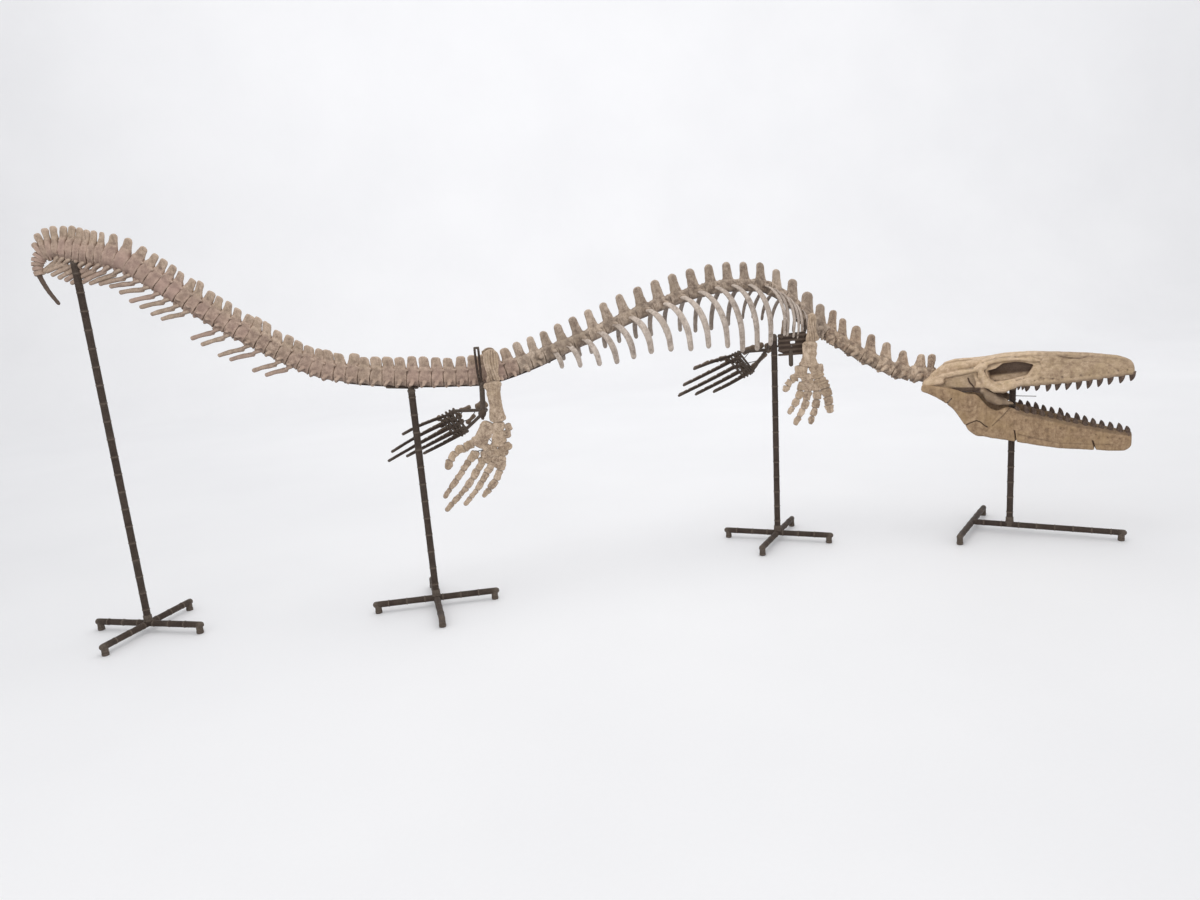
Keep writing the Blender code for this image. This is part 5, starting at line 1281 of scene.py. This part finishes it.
FORE = dict(
    upper=((-0.034, -0.004), (0.104, -0.016), (0.074, 0.076, 0.122)),
    lower=(((0.094, 0.016), (0.164, 0.034), (0.076, 0.074, 0.086)),
           ((0.092, -0.052), (0.158, -0.056), (0.072, 0.070, 0.084))),
    palm=((0.144, 0.058), (0.156, 0.078), (0.192, 0.072), (0.196, 0.000), (0.184, -0.050), (0.160, -0.082), (0.138, -0.078)),
    digits=((((0.152, -0.078), (0.174, -0.120), (0.226, -0.143)), 3, 0.046, 0.033),
            (((0.178, -0.050), (0.250, -0.066), (0.344, -0.127)), 5, 0.047, 0.030),
            (((0.184, -0.014), (0.290, -0.034), (0.404, -0.094)), 5, 0.050, 0.030),
            (((0.186, 0.023), (0.290, 0.022), (0.404, -0.014)), 5, 0.052, 0.030),
            (((0.176, 0.060), (0.280, 0.085), (0.351, 0.096)), 5, 0.060, 0.050)),
    thick=0.032)
HIND = dict(
    upper=((-0.016, -0.004), (0.174, 0.004), (0.096, 0.058, 0.092)),
    lower=(((0.168, -0.036), (0.280, -0.102), (0.058, 0.068, 0.098)),
           ((0.170, 0.006), (0.288, -0.012), (0.056, 0.054, 0.070))),
    palm=((0.180, 0.026), (0.262, 0.000), (0.290, -0.130), (0.330, -0.120), (0.385, -0.060), (0.385, 0.000), (0.330, 0.036),
          (0.240, 0.056), (0.160, 0.060)),
    digits=((((0.262, -0.120), (0.293, -0.208), (0.368, -0.255)), 3, 0.046, 0.032),
            (((0.300, -0.115), (0.396, -0.196), (0.501, -0.284)), 5, 0.037, 0.024),
            (((0.345, -0.085), (0.455, -0.170), (0.563, -0.284)), 5, 0.037, 0.024),
            (((0.365, -0.050), (0.465, -0.118), (0.545, -0.196)), 5, 0.037, 0.025),
            (((0.350, 0.004), (0.440, -0.036), (0.516, -0.107)), 4, 0.040, 0.027)),
    thick=0.036)
FORE_FAR = dict(
    upper=((-0.075, 0.012), (-0.008, 0.006), (0.060, 0.050, 0.074)),
    lower=(((-0.012, -0.020), (0.116, -0.036), (0.042, 0.034, 0.048)),
           ((-0.008, 0.030), (0.098, 0.072), (0.034, 0.024, 0.038))),
    palm=((0.116, -0.046), (0.100, 0.086), (0.150, 0.102), (0.200, 0.030), (0.222, -0.046)),
    digits=((((0.200, -0.040), (0.290, -0.058), (0.392, -0.066)), 4, 0.032, 0.020),
            (((0.200, -0.016), (0.330, -0.010), (0.480, -0.008)), 5, 0.022, 0.016),
            (((0.176, 0.021), (0.340, 0.030), (0.528, 0.034)), 5, 0.022, 0.016),
            (((0.168, 0.056), (0.290, 0.064), (0.440, 0.068)), 5, 0.022, 0.016),
            (((0.140, 0.084), (0.240, 0.096), (0.344, 0.098)), 4, 0.020, 0.014)),
    thick=0.026)
HIND_FAR = dict(
    upper=((-0.008, 0.004), (0.052, 0.022), (0.060, 0.044, 0.052)),
    lower=(((0.070, 0.000), (0.132, -0.002), (0.026, 0.018, 0.030)),
           ((0.067, 0.044), (0.124, 0.070), (0.026, 0.018, 0.028))),
    palm=((0.140, -0.020), (0.132, 0.094), (0.185, 0.112), (0.235, 0.060), (0.262, -0.012)),
    digits=((((0.235, -0.006), (0.330, -0.010), (0.425, -0.002)), 4, 0.020, 0.014),
            (((0.232, 0.022), (0.370, 0.036), (0.510, 0.058)), 5, 0.019, 0.013),
            (((0.222, 0.050), (0.380, 0.072), (0.544, 0.094)), 5, 0.019, 0.013),
            (((0.205, 0.078), (0.320, 0.094), (0.452, 0.106)), 5, 0.019, 0.013),
            (((0.172, 0.100), (0.270, 0.116), (0.370, 0.124)), 4, 0.020, 0.014)),
    thick=0.026)
FORE_PLANE = Plane((1.071, 0.210, 1.047), (-0.02, -0.04, -1.0), (1.0, -0.12, 0.0))
HIND_PLANE = Plane((-0.592, -0.222, 1.050), (0.02, 0.0, -1.0), (1.0, -0.06, 0.0))
FORE_FAR_PLANE = Plane((0.905, 0.500, 1.030), (-0.93, 0.10, -0.36), (0.40, 0.00, -0.92))
HIND_FAR_PLANE = Plane((-0.640, 0.085, 0.935), (-0.94, 0.10, -0.30), (0.30, 0.00, -0.95))
limb("fore", "right", FORE_PLANE, bones=(3, 4, 5, 5, 4), step=0.031, shade=0.0, seed=101, **FORE)
limb("hind", "right", HIND_PLANE, bones=(4, 5, 6, 5, 4), step=0.032, shade=0.0, seed=202, **HIND)
# the far-side paddles carry painted shade (0.62) for the body's shadow they lie in
limb("fore", "left", FORE_FAR_PLANE, bones=(4, 5, 6, 5, 4), step=0.034, shade=0.62, seed=303, **FORE_FAR)
limb("hind", "left", HIND_FAR_PLANE, bones=(4, 5, 6, 5, 4), step=0.034, shade=0.62, seed=404, **HIND_FAR)


def plate_bone(name, pl, outline, thick, nodes, seed, shade=0.0):
    """Flat girdle bone with a thick rim at its joint end and fine upright streaks."""
    xs, ys = [q[0] for q in outline], [q[1] for q in outline]
    line = [(q.x, q.y) for q in smooth([Vector((a, b, 0)) for a, b in outline] + [Vector((outline[0][0], outline[0][1], 0))], 5)][:-1]
    long_ = max(xs)

    def field(x, y, z):
        d = area2(x, y, line)
        th = thick * (0.42 + 0.30 * ramp(x, long_ * 0.62, long_) + 0.10 * ramp(-x, -0.03, 0.01))
        th = th * (0.62 + 0.38 * np.sqrt(np.clip(-d / 0.014, 0, 1)))
        out = smax(d, np.abs(z) - th, 0.005)
        return out + 0.0016 * np.sin(y * 520.0 + 3.0 * np.sin(x * 30.0)) * ramp(-d, 0.003, 0.010)

    V, F = field_mesh(field, (min(xs) - 0.008, min(ys) - 0.008, -thick * 0.9), (max(xs) + 0.008, max(ys) + 0.008, thick * 0.9), 0.0025,
                      ((0.020, 0.020, 0.020, 0.0010), (0.020, 0.005, 0.010, 0.0006)), seed)
    V, F = placed(V, F, pl.o, pl.a, pl.b, pl.n)
    piece = Piece(name)
    piece.add(V, F, 0.1, shade)
    piece.build(LIMB_BONE, slot="body_bone", nodes=nodes)


BLADE = ((0.030, -0.020), (0.020, 0.000), (0.034, 0.018), (0.060, 0.024), (0.120, 0.021), (0.160, 0.034),
         (0.172, 0.000), (0.168, -0.036), (0.115, -0.026), (0.060, -0.022))
ILIUM = ((0.004, -0.030), (-0.008, 0.000), (0.006, 0.030), (0.060, 0.034), (0.110, 0.024), (0.140, 0.028),
         (0.142, -0.032), (0.105, -0.028), (0.055, -0.036))
plate_bone("scapula_right_bone", Plane((1.080, 0.212, 1.246), (0.0, 0.0, -1.0), (1.0, -0.15, 0.0)), BLADE, 0.014, ("scapula_right",), 61)
# far scapula: painted shade 0.35 for the shadow it lies in
plate_bone("scapula_left_bone", Plane((1.060, 0.556, 1.200), (-0.10, 0.0, -1.0), (1.0, 0.10, 0.0)), BLADE, 0.014, ("scapula_left",), 62, 0.35)
plate_bone("ilium_right_bone", Plane((-0.594, -0.172, 1.198), (0.06, 0.0, -1.0), (1.0, 0.10, 0.0)), ILIUM, 0.016, ("ilium_right",), 63)
# far ilium: painted shade 0.35 for the shadow it lies in
plate_bone("ilium_left_bone", Plane((-0.600, -0.034, 1.195), (0.06, 0.0, -1.0), (1.0, 0.10, 0.0)), ILIUM, 0.016, ("ilium_left",), 64, 0.35)

# -------------------------------------------------------- stands and armature
TUBE_R = 0.0165
BAR_Z = 0.042
STANDS = {
    1: dict(at=(-2.308, -0.033), top=(-2.337, -0.029, 1.662), bars=((-21.5, 0.57), (66.0, 0.55))),
    2: dict(at=(-0.956, -0.137), top=(-0.964, -0.136, 1.040), bars=((1.0, 0.57), (97.0, 0.57))),
    3: dict(at=(0.878, 0.274), top=(0.893, 0.273, 1.111), bars=((-31.0, 0.57), (54.5, 0.56))),
    4: dict(at=(2.055, -0.023), top=(2.057, -0.024, 0.778), bars=((-37.5, 0.71), (48.5, 0.59))),
}


def around(x):
    """Distance along the backbone where it passes over x."""
    lo, hi = 0.5, spine.length
    for _ in range(40):
        mid = (lo + hi) / 2
        if spine.frame(mid)[0].x < x:
            lo = mid
        else:
            hi = mid
    return lo


def ringed(piece, a, b, r, every, first, sides=20, ends=(True, True), mark=0.35):
    """Steel tube with thin worn rings round it, as left by its wrapping."""
    a, b = Vector(a), Vector(b)
    long_ = (b - a).length
    s = list(np.linspace(0, long_, max(3, int(long_ / 0.012))))
    marks = list(np.arange(first, long_ - 0.01, every))
    for m in marks:
        s += [m - 0.0034, m - 0.0020, m, m + 0.0020, m + 0.0034]
    s = np.array(sorted(set(round(float(q), 5) for q in s if 0 <= q <= long_)))
    near = np.min([np.abs(s - m) for m in marks], axis=0) if marks else np.full(len(s), 1.0)
    R = r - 0.0006 + 0.0014 * (near < 0.0022) + 0.0003 * np.sin(s * 47.0) * np.sin(s * 19.0 + 1.0)
    d = (b - a) / long_
    V, F = sweep([a + d * q for q in s], R, sides, 1.0, None, ends)
    q = (V - np.array(tuple(a))) @ np.array(tuple(d))
    near = np.min([np.abs(q - m) for m in marks], axis=0) if marks else np.full(len(q), 1.0)
    piece.add(V, F, 0.0, mark * (1 - ramp(near, 0.0022, 0.0042)))


def lathe(piece, o, d, profile, sides=24, shade=0.0):
    """Turned body along d from o; profile is (distance, radius)."""
    d = Vector(d).normalized()
    V, F = sweep([Vector(o) + d * s for s, r in profile], [r for s, r in profile], sides, 1.0, None, (False, False))
    piece.add(V, F, 0.0, shade)


for k, st in STANDS.items():
    x0, y0 = st["at"][0] + SHIFT.x, st["at"][1] + SHIFT.y
    base = Piece("stand_%d_base_steel" % k)
    feet = []
    for j, (deg, long_) in enumerate(st["bars"]):
        d = Vector((cos(radians(deg)), sin(radians(deg)), 0.0))
        c = Vector((x0, y0, BAR_Z))
        if k == 4:
            d0 = Vector((cos(radians(st["bars"][0][0])), sin(radians(st["bars"][0][0])), 0.0))
            ends = (c - d * 0.185, c + d * 0.525) if j == 0 else (c - d0 * 0.185 - d * long_ / 2, c - d0 * 0.185 + d * long_ / 2)
        else:
            ends = (c - d * long_ / 2, c + d * long_ / 2)
        ringed(base, ends[0], ends[1], TUBE_R * 0.94, 0.085, 0.060 + 0.01 * j, mark=0.22)
        for i, e in enumerate(ends):
            if not (k == 4 and j == 0 and i == 0):
                feet.append(e + (ends[1 - i] - ends[i]).normalized() * TUBE_R * 0.55)
            # end cap
            out = (ends[i] - ends[1 - i]).normalized()
            lathe(base, e - out * 0.012, out, [(0.0, TUBE_R * 0.90), (0.0, TUBE_R), (0.011, TUBE_R), (0.0135, TUBE_R * 0.86), (0.0140, TUBE_R * 0.3)], 20, 0.10)
    for f in feet:
        lathe(base, Vector((f.x, f.y, 0.0)), (0, 0, 1), [(0.0, TUBE_R * 0.78), (0.0006, TUBE_R * 0.93), (0.003, TUBE_R * 0.99), (0.012, TUBE_R * 0.99),
                                                         (0.013, TUBE_R * 0.93), (0.030, TUBE_R * 0.92), (BAR_Z, TUBE_R * 0.88)], 20, 0.0)
    # weld and collar where the bars cross
    lathe(base, Vector((x0, y0, BAR_Z - 0.010)), (0, 0, 1), [(0.0, TUBE_R * 0.9), (0.002, TUBE_R * 1.12), (0.020, TUBE_R * 1.14), (0.026, TUBE_R * 1.02)], 24, 0.05)
    base.build(STEEL, slot="stand_steel", nodes=("stand_%d_base" % k,))
    post = Piece("stand_%d_post_steel" % k)
    low, high = Vector((x0, y0, BAR_Z + TUBE_R * 0.6)), Vector(st["top"]) + SHIFT
    if k == 1:
        high += (high - low).normalized() * 0.060 + Vector((0.0, -0.016, 0.0))
    ringed(post, low, high, TUBE_R, 0.082, 0.060)
    d = (high - low).normalized()
    lathe(post, low, d, [(0.0, TUBE_R * 1.30), (0.006, TUBE_R * 1.30), (0.010, TUBE_R * 1.18), (0.030, TUBE_R * 1.16), (0.033, TUBE_R * 1.02)], 24, 0.08)
    if k == 1:
        lo, hi = 0.25, 1.0
        for _ in range(40):
            mid = (lo + hi) / 2
            lo, hi = (mid, hi) if spine.frame(mid)[0].x < high.x else (lo, mid)
        p, t, l, n = spine.frame(lo)
        for hand in (1, -1):
            line = smooth([high + Vector((0, 0, -0.04)) + l * hand * 0.004, high + Vector((0, 0, -0.006)) + l * hand * 0.0125,
                           p + l * hand * 0.0150 - n * (at(CENTRUM, 0.42) - 0.004), p + l * hand * 0.0120 - n * (at(CENTRUM, 0.42) - 0.016)], 6)
            post.add(*sweep(line, 0.0048, 12), 0.0, 0.0)
    if k == 2:
        # bar and saddle under the root of the tail
        q = spine.frame(around(high.x))
        lift = q[0] - q[3] * (at(CENTRUM, 2.0) + 0.0045)
        back = spine.frame(around(high.x) - 0.105)
        post.add(*sweep(smooth([back[0] - back[3] * (at(CENTRUM, 2.0) + 0.0060), lift.lerp(back[0] - back[3] * (at(CENTRUM, 2.0) + 0.0060), 0.5), lift + q[1] * 0.030], 6), 0.0060, 12), 0.0, 0.0)
        post.add(*sweep([high - d * 0.004, lift], TUBE_R * 0.86, 18), 0.0, 0.0)
        lathe(post, high - d * 0.002, d, [(0.0, TUBE_R * 1.06), (0.004, TUBE_R * 1.12), (0.010, TUBE_R * 1.10), (0.012, TUBE_R * 0.7)], 24, 0.05)
    if k == 4:
        # saddle under the palate, and a short wire stay along the jaws
        post.add(*sweep([high - HX * 0.030 + UP * 0.014, high + UP * 0.016, high + HX * 0.034 + UP * 0.013], 0.0070, 14, 0.8), 0.0, 0.0)
        post.add(*sweep([high, high + UP * 0.016], 0.0085, 14), 0.0, 0.0)
    post.build(STEEL, slot="stand_steel", nodes=("stand_%d_post" % k,))
    if k == 4:
        stay = Piece("stand_4_wire")
        a = high - UP * 0.044
        stay.add(*sweep([a, a + HX * 0.030 + HR * 0.010, a + HX * 0.110 + HR * 0.016], 0.0019, 10), 0.0, 0.0)
        stay.build(WIRE, slot="stand_steel", nodes=("stand_4_post",))


def round_bars(name, lines, r, nodes=None, sides=12, bend=5):
    piece = Piece(name + "_steel")
    for pts, rr in lines:
        pts = [Vector(q) for q in pts]
        piece.add(*sweep(smooth(pts, bend) if len(pts) > 2 else pts + [], rr or r, sides), 0.0, 0.0)
    piece.build(STEEL, slot="stand_steel", nodes=nodes or (name,))


def paddle_frame(name, pl, table, lift, start, hatch):
    """Flat bars before a far paddle: one along each digit, several across the palm."""
    lines = []
    for pts, bones, w0, w1 in table["digits"]:
        (a0, b0), (a1, b1), (a2, b2) = pts
        q = (a0 + (0.120 - a0) * 0.80, b0 * 1.02)
        lines.append(([pl.p(q[0], q[1], lift), pl.p(a1, b1, lift), pl.p(a2, b2, lift)], 0.0072))
    for (a0, b0), (a1, b1) in hatch:
        lines.append(([pl.p(a0, b0, lift), pl.p(a1, b1, lift)], 0.0062))
    for a, b in start[1:]:
        lines.append(([pl.p(start[0][0], start[0][1], lift), pl.p(a, b, lift)], 0.0082))
    # short ties from the bars to the bones behind
    for pts, bones, w0, w1 in table["digits"]:
        (a0, b0), (a1, b1), (a2, b2) = pts
        lines.append(([pl.p(a1, b1, lift), pl.p(a1, b1, 0.002)], 0.0024))
    round_bars(name, lines, 0.0060)


paddle_frame("stand_fore_frame", FORE_FAR_PLANE, FORE_FAR, 0.0245,
             ((-0.010, 0.010), (0.136, -0.046), (0.112, 0.086)),
             (((0.135, -0.050), (0.100, 0.088)), ((0.152, -0.050), (0.111, 0.092)), ((0.168, -0.050), (0.122, 0.094)),
              ((0.186, -0.049), (0.141, 0.096)), ((0.205, -0.048), (0.160, 0.096))))
paddle_frame("stand_hind_frame", HIND_FAR_PLANE, HIND_FAR, 0.0245,
             ((0.004, 0.040), (0.156, -0.016), (0.142, 0.094)),
             (((0.150, -0.024), (0.133, 0.104)), ((0.170, -0.023), (0.148, 0.108)), ((0.190, -0.022), (0.163, 0.112)),
              ((0.211, -0.017), (0.179, 0.106)), ((0.232, -0.012), (0.195, 0.100))))

H = [Vector(q) + SHIFT for q in ((-0.652, -0.166, 1.216), (-0.650, -0.166, 1.085), (-0.643, -0.160, 1.020),
                                 (-0.650, -0.150, 0.905), (-0.645, 0.040, 0.905))]
X = Vector((1, 0, 0))
Z = Vector((0, 0, 1))
round_bars("stand_hip_frame", [
    ([H[2] - X * 0.002, H[1] - X * 0.006, H[0] - X * 0.0085 - Z * 0.010, H[0] - X * 0.004 - Z * 0.001, H[0] + X * 0.004 - Z * 0.001,
      H[0] + X * 0.0085 - Z * 0.010, H[1] + X * 0.006, H[2] + X * 0.002], 0.0054),
    ([H[2] + Z * 0.030, H[3]], 0.0125),
    ([H[3] + Vector((0, -0.008, 0.008)), H[4]], 0.0082)], 0.0050)
body = spine.frame(around(H[1].x))[0]
ilium = Plane((-0.594, -0.172, 1.198), (0.06, 0.0, -1.0), (1.0, 0.10, 0.0))
round_bars("stand_hip_pins", [
    ([H[4] - Vector((0, 0.012, 0)), H[4] + Vector((0, 0.004, 0)), HIND_FAR_PLANE.p(0.004, 0.036, 0.030), HIND_FAR_PLANE.p(0.010, 0.040, 0.0245)], 0.0080),
    ([Vector((H[1].x, H[1].y - 0.004, body.z + 0.012)), Vector((body.x, body.y - 0.010, body.z + 0.004))], 0.0046),
    ([ilium.p(0.134, 0.0, 0.0), HIND_PLANE.p(0.006, 0.000, -0.008)], 0.0075)], 0.0050, nodes=("stand_hip_frame",))
knob = Piece("stand_hip_knob_steel")
V, F = field_mesh(lambda x, y, z: np.minimum(blob(x, y, z, (0, 0, 0), (0.019, 0.019, 0.019)), rod(x, y, z, (0, 0, -0.006), (0, 0, -0.024), 0.009, 0.008)),
                  (-0.026, -0.026, -0.036), (0.026, 0.026, 0.026), 0.0025, ((0.01, 0.01, 0.01, 0.0006),), 3)
knob.add(*placed(V, F, H[3] + Vector((-0.004, 0.0, 0.008)), X, Vector((0, 1, 0)), Z), 0.0, 0.55)
knob.build(STEEL, slot="stand_steel", nodes=("stand_hip_frame",))


C3 = Vector((STANDS[3]["top"][0], STANDS[3]["top"][1], 0.0)) + SHIFT
pl = Plane((C3.x - SHIFT.x + 0.0175, C3.y - SHIFT.y - 0.004, 1.120), (1.0, -0.10, 0.0), (0.0, 0.0, -1.0))
PLATE = [(0.000, -0.006), (0.150, -0.012), (0.158, 0.022), (0.156, 0.112), (0.030, 0.104), (0.000, 0.090)]
WINDOW = [(0.068, 0.036), (0.090, 0.036), (0.090, 0.062), (0.068, 0.062)]


def shoulder_field(x, y, z):
    d = area2(x, y, PLATE) + 0.003
    d = smax(d, -(area2(x, y, WINDOW) - 0.002), 0.003)
    out = smax(d, np.abs(z) - 0.0048, 0.003)
    for px, py in ((0.020, 0.012), (0.136, 0.010), (0.134, 0.092), (0.028, 0.084)):
        out = smin(out, smax(np.sqrt((x - px) ** 2 + (y - py) ** 2) - 0.0075, np.abs(z) - 0.0095, 0.002), 0.0015)
    # stiffening ribs pressed into the plate
    for q in (0.008, 0.032, 0.056, 0.082, 0.106):
        out = smin(out, rod(x, y, np.abs(z), (0.006, q, 0.004), (0.150, q, 0.004), 0.0056, 0.0056), 0.003)
    return out


piece = Piece("stand_shoulder_frame_steel")
V, F = field_mesh(shoulder_field, (-0.010, -0.022, -0.014), (0.168, 0.122, 0.014), 0.0026, ((0.012, 0.012, 0.012, 0.0005),), 8)
strip = 0.42 + 0.55 * ramp(np.abs(V[:, 2]), 0.0052, 0.0068)
piece.add(*placed(V, F, pl.o, pl.a, pl.b, pl.n), 0.0, strip)
top = spine.frame(around(C3.x + 0.200))
for pts, r in (([pl.p(0.068, 0.090, 0.001), pl.p(0.068, 0.160, 0.001)], 0.0118),
               ([pl.p(0.136, 0.020, 0.001), pl.p(0.160, -0.030, 0.050),
                 top[0] - top[3] * (at(CENTRUM, around(C3.x + 0.200)) + 0.020)], 0.0080)):
    piece.add(*sweep(smooth(pts, 6) if len(pts) > 2 else pts, r, 14), 0.0, 0.0)
piece.build(STEEL, slot="stand_steel", nodes=("stand_shoulder_frame",))
round_bars("stand_shoulder_arm", [([C3 + Vector((0.000, TUBE_R * 0.4, 1.085)), C3 + Vector((0.004, TUBE_R + 0.02, 1.082)),
                                    C3 + Vector((0.012, 0.130, 1.060)), FORE_FAR_PLANE.p(-0.014, 0.008, 0.0340)], 0.0078)], 0.008)
near = Plane((1.080, 0.212, 1.246), (0.0, 0.0, -1.0), (1.0, -0.15, 0.0))
away = Plane((1.060, 0.556, 1.200), (-0.10, 0.0, -1.0), (1.0, 0.10, 0.0))
round_bars("stand_shoulder_pins", [
    ([pl.p(0.138, 0.030, 0.0), pl.p(0.160, 0.030, 0.002), near.p(0.140, -0.006, 0.0)], 0.0068),
    ([FORE_FAR_PLANE.p(-0.014, 0.008, 0.0340), away.p(0.150, 0.0, 0.034), away.p(0.118, 0.0, 0.0130), away.p(0.050, 0.0, 0.0105)], 0.0056)],
    0.0060, nodes=("stand_shoulder_arm",))

pts, s = [], 1.66
while s < 4.84:
    p, t, l, n = spine.frame(s)
    pts.append(p - n * at(CENTRUM, s) * (0.92 - 0.26 * ramp(s, 2.50, 2.80)))
    s += 0.075
piece = Piece("stand_spine_rod_steel")
piece.add(*sweep(smooth(pts, 2), 0.0062, 12), 0.0, 0.0)
piece.build(STEEL, slot="stand_steel", nodes=("stand_spine_rod",))

# thin dark hook that the tail ends in
piece = Piece("tail_hook")
pts = [spine.frame(0.004 + 0.0200 * k)[0] for k in range(9)]
line = smooth(pts, 4)
f = np.linspace(0, 1, len(line))
piece.add(*sweep(line, 0.0076 + 0.0035 * f + 0.0003 * np.sin(f * 40.0), 14), 0.0, 0.86)
piece.build(TAIL_BONE, slot="tail_bone", nodes=("tail_tip",))


# -------------------------------------------------------------- floor and light
def floor_material():
    m, nt, b = fresh("floor_pale")
    co = node(nt, 'ShaderNodeTexCoord').outputs['Object']
    big = spots(nt, co, 0.7, 3.0, 0.5)
    fine = spots(nt, co, 60.0, 4.0, 0.6)
    col = ramped(nt, maths(nt, 'ADD', maths(nt, 'MULTIPLY', big, 0.8), maths(nt, 'MULTIPLY', fine, 0.2)),
                 ((0.30, (0.86, 0.86, 0.875)), (0.70, (0.90, 0.90, 0.912))))
    nt.links.new(col, b.inputs['Base Color'])
    b.inputs['Roughness'].default_value = 0.55
    b.inputs['Specular IOR Level'].default_value = 0.25
    bump(nt, b, ((fine, 0.05, 0.0003),))
    return m


prof = [(-14.0, 0.0), (7.0, 0.0)]
for k in range(1, 25):
    a = (pi / 2) * k / 24
    prof.append((7.0 + 3.0 * sin(a), 3.0 * (1 - cos(a))))
prof.append((10.0, 14.0))
verts, faces = [], []
for y, z in prof:
    verts += [(-22.0, y, z), (22.0, y, z)]
for i in range(len(prof) - 1):
    faces.append((2 * i, 2 * i + 1, 2 * i + 3, 2 * i + 2))
me = bpy.data.meshes.new("floor")
me.from_pydata(verts, [], faces)
me.polygons.foreach_set("use_smooth", [True] * len(faces))
me.materials.append(floor_material())
floor = bpy.data.objects.new("floor", me)
scene.collection.objects.link(floor)


def area(name, at_, to, size, power, color=(1.0, 1.0, 1.0)):
    data = bpy.data.lights.new(name, 'AREA')
    data.shape = 'RECTANGLE'
    data.size, data.size_y = size
    data.energy = power
    data.color = color
    ob = bpy.data.objects.new(name, data)
    scene.collection.objects.link(ob)
    ob.location = at_
    ob.rotation_euler = (Vector(to) - Vector(at_)).to_track_quat('-Z', 'Y').to_euler()
    return ob


area("light_top", (0.3, -0.2, 5.0), (0.1, 0.2, 0.6), (6.4, 3.2), 86.0, (1.0, 0.995, 0.985))
area("light_front", (-2.2, -7.0, 3.6), (0.2, 0.0, 0.9), (4.5, 3.0), 70.0, (1.0, 0.99, 0.975))
area("light_back", (3.2, 3.2, 6.6), (4.2, 10.0, 3.0), (20.0, 2.0), 286.0)
world = bpy.data.worlds.new("studio")
world.use_nodes = True
back = world.node_tree.nodes["Background"]
back.inputs[0].default_value = (0.985, 0.99, 1.0, 1.0)
back.inputs[1].default_value = 0.745
scene.world = world
scene.view_settings.view_transform = 'Standard'
